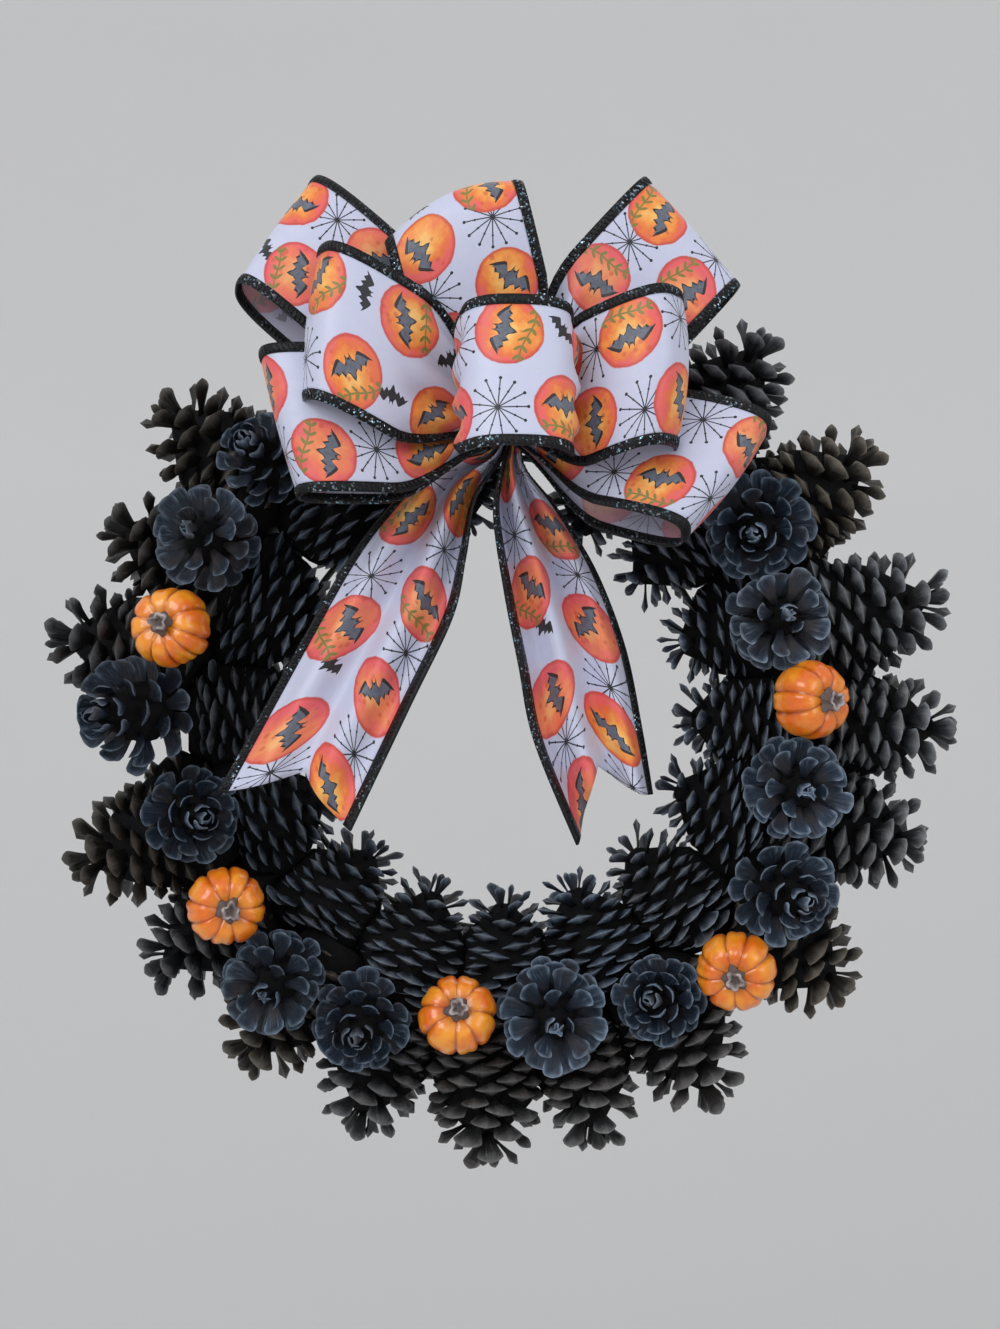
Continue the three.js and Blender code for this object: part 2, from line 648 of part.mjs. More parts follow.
// Tie: a band round the pinch, and a leg that runs back over a ring of the frame and hooks under it
function bowTie() {
  const outline = [
    [TIE_INNER, TIE_FRONT], [TIE_OUTER, TIE_FRONT], [TIE_OUTER, TIE_BACK], [TIE_INNER, TIE_BACK],
    [TIE_INNER, TIE_FRONT],
  ];
  const band = new THREE.LatheGeometry(outline.map(([r, y]) => new THREE.Vector2(r, y)), 14);
  band.translate(TIE_CENTRE[0], 0, TIE_CENTRE[1]);
  const top = RING_RADII[1] + RING_WIRE / 2 + LEG_RADIUS + GAP;
  const under = (RING_RADII[1] - RING_WIRE / 2) * Math.cos(Math.PI / RING_STEPS) - LEG_RADIUS - GAP;
  const start = TIE_CENTRE[1] + (TIE_INNER + TIE_OUTER) / 2;
  const behind = RING_FRONT + RING_WIRE + LEG_RADIUS + GAP + 0.15;
  const line = [
    [TIE_FRONT + 1.2, start], [TIE_BACK + 6, start], [behind - 20, top],
    [behind - 0.7, top], [behind, top - 0.7],
    [behind, under + 0.7], [behind - 0.7, under], [behind - 8, under],
  ];
  const legWire = wire(line, LEG_RADIUS, 6);
  legWire.translate(TIE_CENTRE[0], 0, 0);
  return geometryFrom(solidFrom(band).add(solidFrom(legWire)));
}

// The wreath, shifted so that the hanging point of the top wire is the origin
const wreath = new THREE.Group();
wreath.position.set(0, -RING_FRONT - RING_WIRE / 2, -(RING_RADII[3] - RING_WIRE / 2));

function add(name, geometry, material) {
  const mesh = new THREE.Mesh(geometry, material);
  mesh.name = name;
  wreath.add(mesh);
}

add("frame", frame(), wireGreen);
for (const cone of cones) add(cone.name, pinecone(cone), coneBlack);
for (const item of pumpkins) {
  add(item.name, pumpkin(item), pumpkinOrange);
  add(`${item.name}_stem`, stem(item), stemBrown);
}
add("bow_loops", bowLoops(), ribbonPrint);
add("bow_tail_left", strip(LEFT_TAIL.edges, RIBBON_THICK, LEFT_TAIL.notch), ribbonPrint);
add("bow_tail_right", strip(RIGHT_TAIL.edges, RIBBON_THICK, RIGHT_TAIL.notch), ribbonPrint);
add("bow_tie", bowTie(), tieWire);

export default wreath;
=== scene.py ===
import math

import bmesh
import bpy
import numpy as np
from mathutils import Matrix, Vector


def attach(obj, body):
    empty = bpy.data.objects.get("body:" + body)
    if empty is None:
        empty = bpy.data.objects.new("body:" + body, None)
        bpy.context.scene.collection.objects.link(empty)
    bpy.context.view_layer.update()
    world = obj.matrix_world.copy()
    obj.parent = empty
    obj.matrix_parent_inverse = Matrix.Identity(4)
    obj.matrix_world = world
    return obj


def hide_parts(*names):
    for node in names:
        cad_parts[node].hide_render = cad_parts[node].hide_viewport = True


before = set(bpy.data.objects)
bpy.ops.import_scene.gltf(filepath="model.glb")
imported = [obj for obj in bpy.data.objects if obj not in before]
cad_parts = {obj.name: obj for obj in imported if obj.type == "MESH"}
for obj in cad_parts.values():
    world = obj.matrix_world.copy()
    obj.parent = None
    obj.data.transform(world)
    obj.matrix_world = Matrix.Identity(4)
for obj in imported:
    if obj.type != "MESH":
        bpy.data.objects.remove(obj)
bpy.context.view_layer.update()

# Sizes are in millimetres, measured from the middle of the wreath's ring:
# x to the right, y toward the wall, z up
RING_RADII = [112, 130, 148, 166]
RING_WIRE = 3.4
RING_FRONT = -6.4
BAR_COUNT = 8
GAP = 0.3
FULL_TURN = 2 * math.pi
GOLDEN_TURN = math.radians(137.508)

# The hanging point of the top wire is the row's origin
SHIFT = np.array([0, -RING_FRONT - RING_WIRE / 2, -(RING_RADII[-1] - RING_WIRE / 2)])

# Ribbon, with a band of black glitter along both edges
RIBBON_WIDTH = 63.5
RIBBON_THICK = 0.45
TRIM_WIDTH = 4.0
TRIM_THICK = 1.3
STITCH_PITCH = 2.2
KNOT = np.array([3.6, -100, 129])

# A kind of cone. Its outlines are pairs of height and radius, as shares of its length and largest
# radius: of the core, of the dark body that stands in for the shade between the scales, and of the
# scales' tips.
# front: how much of the body's radius is left at the front and back; flare: how much the base spreads
# at its sides. lean_low, lean_high, lean_late: how far the lowest and highest scales lean to the tip,
# and how late they begin to. top_root, sparser: where the highest scale grows, and how much sparser
# the scales get toward it. scales, width, thick, taper, ragged: their number, width and thickness, how
# narrow the highest is, and the shortest one's share of its full reach. bud: small scales at the top
LYING = dict(
    core=[[0.02, 0.22], [0.12, 0.46], [0.3, 0.54], [0.55, 0.48], [0.78, 0.33], [0.93, 0.15]],
    body=[[-0.16, 0.8], [-0.06, 0.93], [0.0, 0.96], [0.12, 0.97], [0.4, 0.88], [0.56, 0.74],
          [0.7, 0.5], [0.8, 0.3], [0.9, 0.12]],
    tips=[[-0.2, 0.85], [-0.06, 0.99], [0.12, 1.03], [0.55, 1.0], [0.75, 0.9], [0.92, 0.74],
          [1.05, 0.5]],
    front=0.74, flare=0.26, lean_low=-0.15, lean_high=0.21, lean_late=1.0, top_root=0.84, sparser=0.62,
    scales=96, width=14.8, thick=7.4, taper=0.4, ragged=0.92, bud=7,
)
# An inner cone is the same kind, more closed, with thinner scales
CLOSED = dict(
    LYING,
    body=[[-0.2, 0.86], [-0.08, 1.02], [0.0, 1.08], [0.16, 1.08], [0.42, 1.06], [0.56, 0.92],
          [0.68, 0.64], [0.8, 0.34], [0.9, 0.15]],
    tips=[[-0.24, 0.95], [-0.08, 1.12], [0.12, 1.15], [0.32, 1.06], [0.6, 1.0], [0.78, 0.9],
          [0.94, 0.78], [1.08, 0.58]],
    front=0.7, flare=0.34, lean_low=-0.2, lean_high=0.24, sparser=0.72,
    scales=92, width=14.4, thick=4.8, taper=0.26, bud=3,
)
# A standing cone is opened wider, down to a small bud in the middle
STANDING = dict(
    core=[[0.03, 0.2], [0.14, 0.42], [0.34, 0.5], [0.6, 0.42], [0.82, 0.27], [0.95, 0.12]],
    body=[[-0.05, 0.3], [0.14, 0.48], [0.34, 0.45], [0.6, 0.3], [0.82, 0.17], [0.95, 0.06]],
    tips=[[-0.1, 0.86], [0.1, 0.98], [0.32, 1.0], [0.52, 0.89], [0.7, 0.7], [0.86, 0.48], [0.98, 0.28],
          [1.1, 0.06]],
    front=1.0, flare=0.0, lean_low=0.02, lean_high=0.26, lean_late=1.0, top_root=0.84, sparser=0.9,
    scales=38, width=10.9, thick=9.5, taper=0.3, ragged=0.84, bud=0,
)
# One that has opened flat, with long scales round its middle
FLAT_OPEN = dict(
    STANDING,
    tips=[[-0.1, 0.86], [0.1, 0.98], [0.45, 1.0], [0.7, 0.95], [0.86, 0.82], [0.97, 0.56], [1.02, 0.3],
          [1.1, 0.06]],
    lean_low=0.0, lean_late=2.6, scales=40, taper=0.45, bud=3,
)
FLAT_ONES = ("cone_front_01", "cone_front_05", "cone_front_07", "cone_front_10", "cone_front_11")

# Each cone: base x, y, z, tip x, y, z, largest radius, turn about its own axis in degrees
OUTER_CONES = [
    [-114.0, -31.5, 104.5, -165.6, -33.0, 151.8, 32.0, 148],
    [-131.7, -31.5, 64.2, -191.0, -33.0, 93.2, 32.0, 60],
    [-150.5, -31.5, 26.5, -219.4, -33.0, 38.7, 32.0, 144.5],
    [-142.7, -31.5, -51.9, -208.5, -33.0, -75.9, 32.0, 154],
    [-117.0, -31.5, -88.2, -169.7, -33.0, -127.9, 32.0, 223.5],
    [-86.7, -31.5, -119.3, -125.5, -33.0, -172.7, 32.0, 248],
    [-48.9, -31.5, -142.1, -70.4, -33.0, -204.5, 32.0, 295],
    [-5.4, -31.5, -153.9, -7.7, -33.0, -219.8, 32.0, 342],
    [33.8, -31.5, -146.4, 48.6, -33.0, -210.7, 32.0, 29],
    [73.7, -31.5, -133.0, 105.7, -33.0, -190.8, 32.0, 83.5],
    [118.2, -31.5, -95.7, 169.5, -33.0, -137.3, 32.0, 205.5],
    [142.9, -31.5, -46.4, 205.7, -33.0, -66.8, 32.0, 192.5],
    [150.8, -31.5, -5.3, 220.8, -33.0, -7.7, 32.0, 217],
    [148.7, -32.7, 39.7, 216.2, -34.2, 58.4, 32.0, 34.8],
    [125.9, -31.5, 88.2, 183.2, -33.0, 128.3, 32.0, 333.5],
    [90.3, -31.5, 126.7, 131.0, -33.0, 183.6, 32.0, 155.5],
    [27.1, -31.5, 139.3, 39.7, -33.0, 204.0, 30.0, 45],
    [-51.5, -31.5, 134.2, -75.2, -33.0, 195.8, 30.0, 92],
]
INNER_CONES = [
    [102.1, -32.0, 98.6, 64.7, -30.0, 62.5, 27.0, 13],
    [133.4, -32.0, 48.6, 84.6, -30.0, 30.8, 27.0, 60],
    [141.9, -32.0, -5.0, 89.9, -30.0, -3.1, 27.0, 107],
    [130.7, -32.0, -55.5, 82.8, -30.0, -35.2, 27.0, 154],
    [96.8, -32.0, -103.9, 61.4, -30.0, -65.8, 27.0, 201],
    [53.2, -32.0, -131.7, 33.7, -30.0, -83.4, 27.0, 38],
    [2.5, -32.0, -142.0, 1.6, -30.0, -90.0, 27.0, 295],
    [-48.6, -32.0, -133.4, -30.8, -30.0, -84.6, 27.0, 342],
    [-95.0, -32.0, -105.5, -60.2, -30.0, -66.9, 27.0, 29],
    [-129.7, -32.0, -57.8, -82.2, -30.0, -36.6, 27.0, 136],
    [-142.0, -32.0, 0.0, -90.0, -30.0, 0.0, 27.0, 123],
    [-129.7, -32.0, 57.8, -82.2, -30.0, 36.6, 29.5, 170],
    [-87.4, -32.0, 111.9, -55.4, -30.0, 70.9, 29.5, 217],
    [-24.7, -32.0, 139.8, -16.0, -30.0, 90.6, 24.0, 294],
    [57.8, -32.0, 129.7, 37.4, -30.0, 84.0, 24.0, 326],
]
FRONT_CONES = [
    [-135.3, -54.0, 81.0, -141.4, -94.3, 85.9, 26.7, 58],
    [-165.8, -54.0, 0.9, -184.6, -98.6, 1.8, 31.5, 75],
    [-108.2, -54.0, 117.4, -117.9, -88.8, 127.8, 24.5, 152],
    [-150.3, -52.0, -47.8, -134.7, -89.2, -47.1, 26.3, 244],
    [-105.4, -54.0, -123.8, -107.4, -94.1, -127.0, 26.3, 291],
    [-65.6, -54.0, -144.8, -65.6, -94.9, -146.9, 26.7, 308],
    [24.4, -54.0, -141.0, 25.7, -96.3, -141.0, 27.6, 325],
    [78.3, -52.5, -137.8, 68.6, -87.3, -130.1, 24.1, 357],
    [131.4, -54.0, -82.5, 139.8, -96.1, -84.6, 28.0, 269],
    [138.0, -54.0, -34.9, 140.0, -94.3, -34.9, 26.3, 316],
    [131.4, -50.4, 44.2, 131.4, -91.3, 46.3, 26.7, 263.1],
    [124.3, -54.0, 90.0, 113.7, -96.4, 82.4, 28.9, 170],
]
# Each row of cones: the name that its cones share, its kind, and how much brown shows through
CONE_ROWS = [
    ("cone_outer", OUTER_CONES, LYING, 0.85),
    ("cone_inner", INNER_CONES, CLOSED, 0.35),
    ("cone_front", FRONT_CONES, STANDING, 0.0),
]

# Each pumpkin: bottom x, y, z, top x, y, z, radius, turn, how far scales come into its grooves,
# and its number of lobes
PUMPKINS = [
    [-149.0, -66.6, 39.1, -154.8, -96.6, 42.8, 19.2, 205.3, 1.5, 9],
    [-131.5, -63.8, -88.6, -123.4, -93.2, -88.6, 19.0, 243.8, 0.6, 9],
    [-19.7, -64.4, -145.6, -19.7, -92.2, -133.1, 19.0, 127.3, 1.1, 8],
    [112.6, -65.0, -117.4, 106.0, -95.0, -119.6, 19.2, 154, 0.81, 9],
    [136.8, -66.9, 7.2, 151.5, -93.1, 7.2, 18.8, 201, 1.5, 8],
]
PUMPKIN_OUTLINE = [[0.5 - 0.5 * math.cos(math.pi * i / 8), math.sin(math.pi * i / 8) ** 0.75]
                   for i in range(8)] + [[1, 0]]
# Where the stem stands, as a share of the pumpkin's length, then its outline from the foot up and into
# the cut end: height, radius, lean, and how much of the paler cut shows
STEM_SEAT = 0.9
STEM = [[0, 5.4, 0, 0], [0.8, 5.0, 0.1, 0], [1.8, 4.2, 0.2, 0], [3.2, 3.7, 0.4, 0], [4.6, 3.9, 0.7, 0],
        [5.4, 4.1, 0.8, 0.6], [5.7, 3.3, 0.8, 1.0], [4.9, 2.3, 0.8, 0.35], [3.4, 1.6, 0.8, 0],
        [3.0, 0.4, 0.8, 0]]

# Each bow loop: far end, half opening, turn of the ribbon about the loop's own length, how much
# further one edge reaches, how far the middle of its end stands out, where it reaches full width,
# how round its end is, and the side that it opens to
LOOP = dict(spread=0.6, blunt=1.5, side=[0, -1, 0])
LOOPS = [
    dict(LOOP, end=[-101.2, -100, 216.6], open=20, roll=18, lean=0.15, crown=1),
    dict(LOOP, end=[-78.6, -140, 168.8], open=20, roll=8, lean=0.31, crown=2),
    dict(LOOP, end=[-95, -128, 127.9], open=17, roll=5, lean=0.24, crown=1),
    dict(LOOP, end=[-20.5, -118, 221.5], open=20, roll=0, lean=0.16, crown=8),
    dict(end=[8.1, -172, 142.8], open=29, roll=0, lean=0, crown=0, spread=0.9, blunt=1.3, side=[1, 0, 0]),
    dict(LOOP, end=[86, -100, 217], open=20, roll=0, lean=-0.1, crown=1),
    dict(LOOP, end=[72.4, -142, 149.7], open=20, roll=-8, lean=-0.3, crown=5),
    dict(LOOP, end=[99.2, -120, 104.5], open=17, roll=-20, lean=-0.36, crown=3),
]

# Tails: pairs of points on the left and right edge, from the pinch to the cut end, then the notch and
# where across the ribbon its pleats begin
LEFT_TAIL = dict(
    edges=[
        [[-2, -86.2, 124.6], [3.3, -86.2, 124.6]],
        [[-2, -91.5, 124.6], [3.3, -91.5, 124.6]],
        [[-9, -94, 119], [0.5, -94, 116]],
        [[-30, -93, 116], [-11, -94, 99]],
        [[-52, -93, 94], [-16, -95, 72]],
        [[-69.5, -94, 70.9], [-22, -96, 45]],
        [[-93, -96, 29], [-41, -97, 5]],
        [[-127.3, -99, -34.1], [-67.7, -99, -51.3]],
    ],
    notch=[-82.1, -99, -23.3],
    phase=0.1,
)
RIGHT_TAIL = dict(
    edges=[
        [[3.9, -86.2, 124.6], [9.2, -86.2, 124.6]],
        [[3.9, -91.5, 124.6], [9.2, -91.5, 124.6]],
        [[0.9, -95.6, 112], [11.5, -93, 113]],
        [[-2.5, -93.5, 92], [26, -88, 96]],
        [[2.3, -93, 57.3], [44, -82, 68]],
        [[9, -92, 23], [58, -79, 32]],
        [[15.9, -90, -10.9], [66, -78, -6]],
        [[35.4, -85, -58.5], [71.3, -78, -37.5]],
    ],
    notch=[41.8, -83, -22.8],
    phase=-0.2,
)

# Wire tie: a band round the pinch and a leg back to the second ring of the frame
TIE_CENTRE = [3.6, 127.6]
TIE_RADIUS = 8.15
TIE_FRONT = -90
TIE_BACK = -87
LEG_RADIUS = 1


# Meshes

def store(mesh, name, data):
    """Keep a number or a vector for each point of a mesh."""
    data = np.asarray(data, np.float32)
    kind, key = ("FLOAT", "value") if data.ndim == 1 else ("FLOAT_VECTOR", "vector")
    mesh.attributes.new(name, kind, "POINT").data.foreach_set(key, data.ravel())


def in_scene(name, data):
    thing = bpy.data.objects.new(name, data)
    bpy.context.scene.collection.objects.link(thing)
    return thing


def made(name, points, faces, material=None, uvs=None, values=None):
    """A mesh object at the origin from points in millimetres, with named values for its points."""
    mesh = bpy.data.meshes.new(name)
    places = (np.asarray(points, float).reshape(-1, 3) + SHIFT) / 1000
    mesh.from_pydata(places.tolist(), [], faces)
    mesh.update()
    for key, data in (values or {}).items():
        store(mesh, key, data)
    if uvs is not None:
        corner = [loop.vertex_index for loop in mesh.loops]
        layer = mesh.uv_layers.new(name="UVMap")
        layer.data.foreach_set("uv", np.asarray(uvs, np.float32)[corner].ravel())
    mesh.shade_smooth()
    if material:
        mesh.materials.append(material)
    return in_scene(name, mesh)


def with_modifier(piece, tree, inputs):
    """Run a Geometry Nodes tree on a piece and keep what it makes as a plain mesh."""
    modifier = piece.modifiers.new(tree.name, "NODES")
    modifier.node_group = tree
    for item in tree.interface.items_tree:
        if item.item_type == "SOCKET" and item.in_out == "INPUT" and item.name in inputs:
            modifier[item.identifier] = inputs[item.name]
    depsgraph = bpy.context.evaluated_depsgraph_get()
    result = bpy.data.meshes.new_from_object(piece.evaluated_get(depsgraph), depsgraph=depsgraph)
    piece.modifiers.remove(modifier)
    old = piece.data
    piece.data = result
    bpy.data.meshes.remove(old)
    result.name = piece.name
    for key in ("root_turn", "root_size", "is_root"):
        if key in result.attributes:
            result.attributes.remove(result.attributes[key])


def fix_normals(piece):
    """Turn every closed shell of a mesh so that its faces point outward."""
    mesh = bmesh.new()
    mesh.from_mesh(piece.data)
    bmesh.ops.recalc_face_normals(mesh, faces=mesh.faces)
    mesh.to_mesh(piece.data)
    mesh.free()


def hand_in(piece, node=None):
    """Put a piece on the only body, and in place of the node that it stands for."""
    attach(piece, "root")
    if node:
        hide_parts(node)


def grid_faces(rows, columns, wrap=True):
    """Quads between rows of points, each row a ring where wrap is true."""
    faces = []
    for i in range(rows - 1):
        for j in range(columns if wrap else columns - 1):
            k = (j + 1) % columns
            a, b = i * columns, (i + 1) * columns
            faces.append([a + j, a + k, b + k, b + j])
    return faces


def closed_skin(rows, columns):
    """Faces of a skin round rows of points, with a flat face at both ends."""
    last = (rows - 1) * columns
    ends = [list(range(columns))[::-1], list(range(last, last + columns))]
    return grid_faces(rows, columns) + ends


def gather(parts):
    """Join several shells, each its points and faces, into one."""
    points, faces = [], []
    for part_points, part_faces in parts:
        start = len(points)
        faces += [[i + start for i in face] for face in part_faces]
        points += list(part_points)
    return points, faces


def table_value(table, place):
    table = np.asarray(table, float)
    return np.interp(place, table[:, 0], table[:, 1])


def lengths_along(points):
    """How far along a line each of its points lies."""
    steps = np.linalg.norm(np.diff(points, axis=0), axis=1)
    return np.concatenate([[0], np.cumsum(steps)])


def unit(vector):
    return vector / np.linalg.norm(vector)


def across_axis(axis):
    """Two directions at right angles to an axis and to each other."""
    e1 = unit(np.cross([0, 0, 1] if abs(axis[2]) <= 0.8 else [1, 0, 0], axis))
    return e1, np.cross(axis, e1)


def smoothstep(value):
    value = np.clip(value, 0, 1)
    return value * value * (3 - 2 * value)


# Nodes

def arithmetic(operation):
    """A method of Value that adds one node of arithmetic."""
    def method(self, *others):
        inputs = dict(enumerate((self, *others)))
        return add(self.tree, "ShaderNodeMath", inputs, operation=operation)
    return method


class Value:
    """What a node gives, with arithmetic that adds nodes, and the node's other outputs by name."""
    __add__ = arithmetic("ADD")
    __sub__ = arithmetic("SUBTRACT")
    __mul__ = arithmetic("MULTIPLY")
    __truediv__ = arithmetic("DIVIDE")
    __pow__ = arithmetic("POWER")
    __abs__ = arithmetic("ABSOLUTE")
    __lt__ = arithmetic("LESS_THAN")
    __gt__ = arithmetic("GREATER_THAN")
    larger = arithmetic("MAXIMUM")
    floor = arithmetic("FLOOR")
    fraction = arithmetic("FRACT")
    root = arithmetic("SQRT")
    sine = arithmetic("SINE")
    cosine = arithmetic("COSINE")
    angle_above = arithmetic("ARCTAN2")

    def __init__(self, socket):
        self.socket = socket
        self.tree = socket.id_data

    def __rsub__(self, other):
        return self * -1.0 + other

    def __getitem__(self, key):
        return Value(self.socket.node.outputs[key])

    def clamped(self):
        """The same, kept between 0 and 1."""
        self.socket.node.use_clamp = True
        return self


def feed(socket, value):
    """Link a value to a socket, or set the number, name, vector or colour that it holds."""
    if isinstance(value, Value):
        socket.id_data.links.new(value.socket, socket)
    elif socket.type == "RGBA":
        socket.default_value = (*value, 1)
    else:
        socket.default_value = value


def add(tree, kind, inputs=None, **settings):
    """Add a node, set its properties and feed its inputs; gives its first output."""
    node = tree.nodes.new(kind)
    for key, value in settings.items():
        setattr(node, key, value)
    for key, value in (inputs or {}).items():
        feed(node.inputs[key], value)
    return Value(node.outputs[0])


def mix(share, first, second):
    """A colour between two others."""
    tree = next(one.tree for one in (share, first, second) if isinstance(one, Value))
    return add(tree, "ShaderNodeMix", {0: share, 6: first, 7: second}, data_type="RGBA")[2]


def ramp(value, *stops, smooth=False):
    """A colour or grey for each place along a scale."""
    result = add(value.tree, "ShaderNodeValToRGB", {0: value})
    colour_ramp = result.socket.node.color_ramp
    colour_ramp.interpolation = "EASE" if smooth else "LINEAR"
    while len(colour_ramp.elements) < len(stops):
        colour_ramp.elements.new(0.5)
    for element, (place, colour) in zip(colour_ramp.elements, stops):
        element.position = place
        element.color = (*colour, 1) if isinstance(colour, tuple) else (colour, colour, colour, 1)
    return result


def noise(place, scale, detail=3.0, roughness=0.55, distortion=0.0):
    inputs = {"Vector": place, "Scale": scale, "Detail": detail, "Roughness": roughness,
              "Distortion": distortion}
    return add(place.tree, "ShaderNodeTexNoise", inputs)


def attribute(tree, name):
    return add(tree, "ShaderNodeAttribute", attribute_name=name)["Fac"]


def new_material(name, colour, roughness, metallic=0.0):
    """A material with one Principled shader, its tree, and object coordinates."""
    material = bpy.data.materials.new(name)
    material.use_nodes = True
    material.diffuse_color = (*colour, 1)
    set_shader(material, {"Base Color": colour, "Roughness": roughness, "Metallic": metallic})
    tree = material.node_tree
    return material, tree, add(tree, "ShaderNodeTexCoord")["Object"]


def set_shader(material, inputs, height=None, distance=0.0, strength=1.0):
    """Feed a material's shader, and where height is given its bump; gives the material."""
    tree = material.node_tree
    if height:
        bump = {"Height": height, "Distance": distance, "Strength": strength}
        inputs["Normal"] = add(tree, "ShaderNodeBump", bump)
    for key, value in inputs.items():
        feed(tree.nodes["Principled BSDF"].inputs[key], value)
    return material


# Materials

def cone_paint():
    """Black spray paint: satin, streaked along each scale, greyer on the rims from wear and a painted
    highlight, rubbed and painted with highlights in places, darker toward each scale's root as
    painted shade, lighter on cones further right as painted light, with some brown wood showing
    through."""
    material, tree, place = new_material("black_painted_cone", (0.012, 0.014, 0.018), 0.5)
    rim, tone, warmth, cone_tone = [attribute(tree, key) for key in ("rim", "tone", "warmth", "cone_tone")]
    along = add(tree, "ShaderNodeAttribute", attribute_name="grain")["Vector"]
    shift = add(tree, "ShaderNodeCombineXYZ", {0: tone * 37.0, 2: tone})
    stretched = add(tree, "ShaderNodeVectorMath", {0: along, 1: (4.5, 0.8, 1.0), 2: shift},
                    operation="MULTIPLY_ADD")
    streaks = noise(stretched, 1.5, 4.0, 0.6)
    patches = noise(place, 90.0, 4.0, 0.6)
    fine = noise(place, 420.0, 4.0, 0.6)
    deep = mix(warmth, (0.008, 0.011, 0.018), (0.009, 0.009, 0.008))
    face = mix(warmth, (0.031, 0.053, 0.09), (0.046, 0.041, 0.034))
    # Pale bluish grey of worn paint, which also serves as a painted highlight on the rims and patches
    worn_and_highlit_grey = mix(warmth, (0.3, 0.39, 0.5), (0.2, 0.175, 0.14))
    # Painted shade: each scale's paint is darker toward its root, where the scales shade each other
    root_shade_factor = ramp(add(tree, "ShaderNodeSeparateXYZ", {0: along})[1], (0.25, 0.12), (0.8, 1.0), smooth=True)
    streaks_and_root_shade = ramp(streaks, (0.3, 0.15), (0.68, 1.0))
    # The per-cone value adds painted light, lighter on cones further right, on top of a random tone
    streaks_and_root_shade = (streaks_and_root_shade * ((tone * 0.5 + cone_tone * 0.5) * 0.9 + 0.3)).clamped() * root_shade_factor
    # Rims lighter: partly worn paint, partly a painted highlight
    rim_wear_and_highlight = rim ** 2.6 * (patches + 0.45)
    rim_wear_and_highlight = (rim_wear_and_highlight * (streaks * 0.8 + 0.45)).clamped()
    rim_wear_and_highlight = (rim_wear_and_highlight * (cone_tone * 0.4 + 0.7)).clamped()
    # Lighter streaked patches on the faces: rubbed paint and painted highlights
    rubbed_and_highlit = ramp(streaks, (0.5, 0.0), (0.68, 1.0)) * ramp(patches, (0.44, 0.0), (0.62, 1.0))
    rubbed_and_highlit = rubbed_and_highlit * (tone * 0.42 + 0.06) * root_shade_factor
    painted = mix(rim_wear_and_highlight.larger(rubbed_and_highlit), mix(streaks_and_root_shade, deep, face), worn_and_highlit_grey)
    bare = ramp(noise(place, 62.0, 2.0), (0.5, 0.0), (0.66, 1.0)) * 0.4
    specks = ramp(fine, (0.66, 0.0), (0.8, 1.0)) * 0.2
    colour = mix(specks, mix(bare, painted, (0.05, 0.036, 0.03)), (0.12, 0.1, 0.085))
    inputs = {"Base Color": colour, "Roughness": patches * 0.3 + 0.28, "Specular IOR Level": 0.28}
    return set_shader(material, inputs, streaks * 0.9 + fine * 0.5, 0.0007, 0.8)


def core_paint():
    """Painted shade: the cones' black paint, darker still, on the body between the scales."""
    material, tree, place = new_material("black_painted_core", (0.004, 0.004, 0.005), 0.85)
    patches = noise(place, 300.0)
    colour = mix(patches, (0.003, 0.003, 0.004), (0.009, 0.009, 0.009))
    return set_shader(material, {"Base Color": colour, "Specular IOR Level": 0.1}, patches, 0.0006)


def pumpkin_skin():
    """Glossy orange skin, darker and redder in the grooves and round the stem as painted shade, with yellow
    mottles and a few brown specks.
    """
    material, tree, place = new_material("glossy_pumpkin_orange", (0.8, 0.22, 0.02), 0.28)
    clouds = noise(place, 85.0)
    fine = noise(place, 420.0, 3.0, 0.6)
    mottles = ramp(clouds, (0.35, 0.0), (0.68, 1.0), smooth=True)
    clear = mix(mottles, (0.78, 0.15, 0.006), (0.93, 0.34, 0.018))
    # Painted shade: the skin darkens in the grooves and in the hollow round the stem
    deep = (attribute(tree, "groove") ** 1.6 * (fine * 0.6 + 0.55)).clamped()
    cells = add(tree, "ShaderNodeTexVoronoi", {"Vector": place, "Scale": 150.0})["Distance"]
    specks = ramp(cells, (0.03, 0.55), (0.075, 0.0))
    colour = mix(specks, mix(deep, clear, (0.36, 0.05, 0.004)), (0.3, 0.07, 0.01))
    inputs = {"Base Color": colour, "Roughness": clouds * 0.2 + 0.2, "Coat Weight": 0.5,
              "Coat Roughness": 0.1, "Subsurface Weight": 0.05,
              "Subsurface Radius": (0.004, 0.0015, 0.0005)}
    return set_shader(material, inputs, clouds + fine * 0.25, 0.0006, 0.6)


def stem_bark():
    """Dry grey-brown stem with a fibrous skin and a paler cut end."""
    material, tree, place = new_material("dry_stem", (0.22, 0.17, 0.13), 0.8)
    fibres = noise(place, 700.0, 4.0, 0.65)
    blotches = ramp(noise(place, 260.0, 2.0), (0.38, 0.0), (0.62, 1.0))
    bark = mix(fibres, (0.03, 0.02, 0.018), (0.24, 0.18, 0.16))
    ends = mix(blotches, (0.16, 0.12, 0.11), (0.52, 0.45, 0.45))
    return set_shader(material, {"Base Color": mix(attribute(tree, "cut"), bark, ends)}, fibres, 0.0008)


def wire_enamel():
    """Dark green enamel on the frame's wire, chipped here and there."""
    material, tree, place = new_material("green_enamelled_wire", (0.012, 0.03, 0.018), 0.35)
    patches = noise(place, 160.0, 4.0)
    chips = ramp(patches, (0.66, 0.0), (0.7, 1.0))
    colour = mix(chips, mix(patches, (0.008, 0.022, 0.012), (0.02, 0.045, 0.026)), (0.16, 0.15, 0.14))
    return set_shader(material, {"Base Color": colour, "Roughness": patches * 0.35 + 0.2}, patches, 0.0003)


def tie_steel():
    """Soft black florist's wire."""
    material, tree, place = new_material("florist_wire", (0.02, 0.022, 0.024), 0.4, 0.7)
    patches = noise(place, 500.0)
    colour = mix(patches, (0.015, 0.016, 0.018), (0.09, 0.09, 0.095))
    return set_shader(material, {"Base Color": colour}, patches, 0.0001)


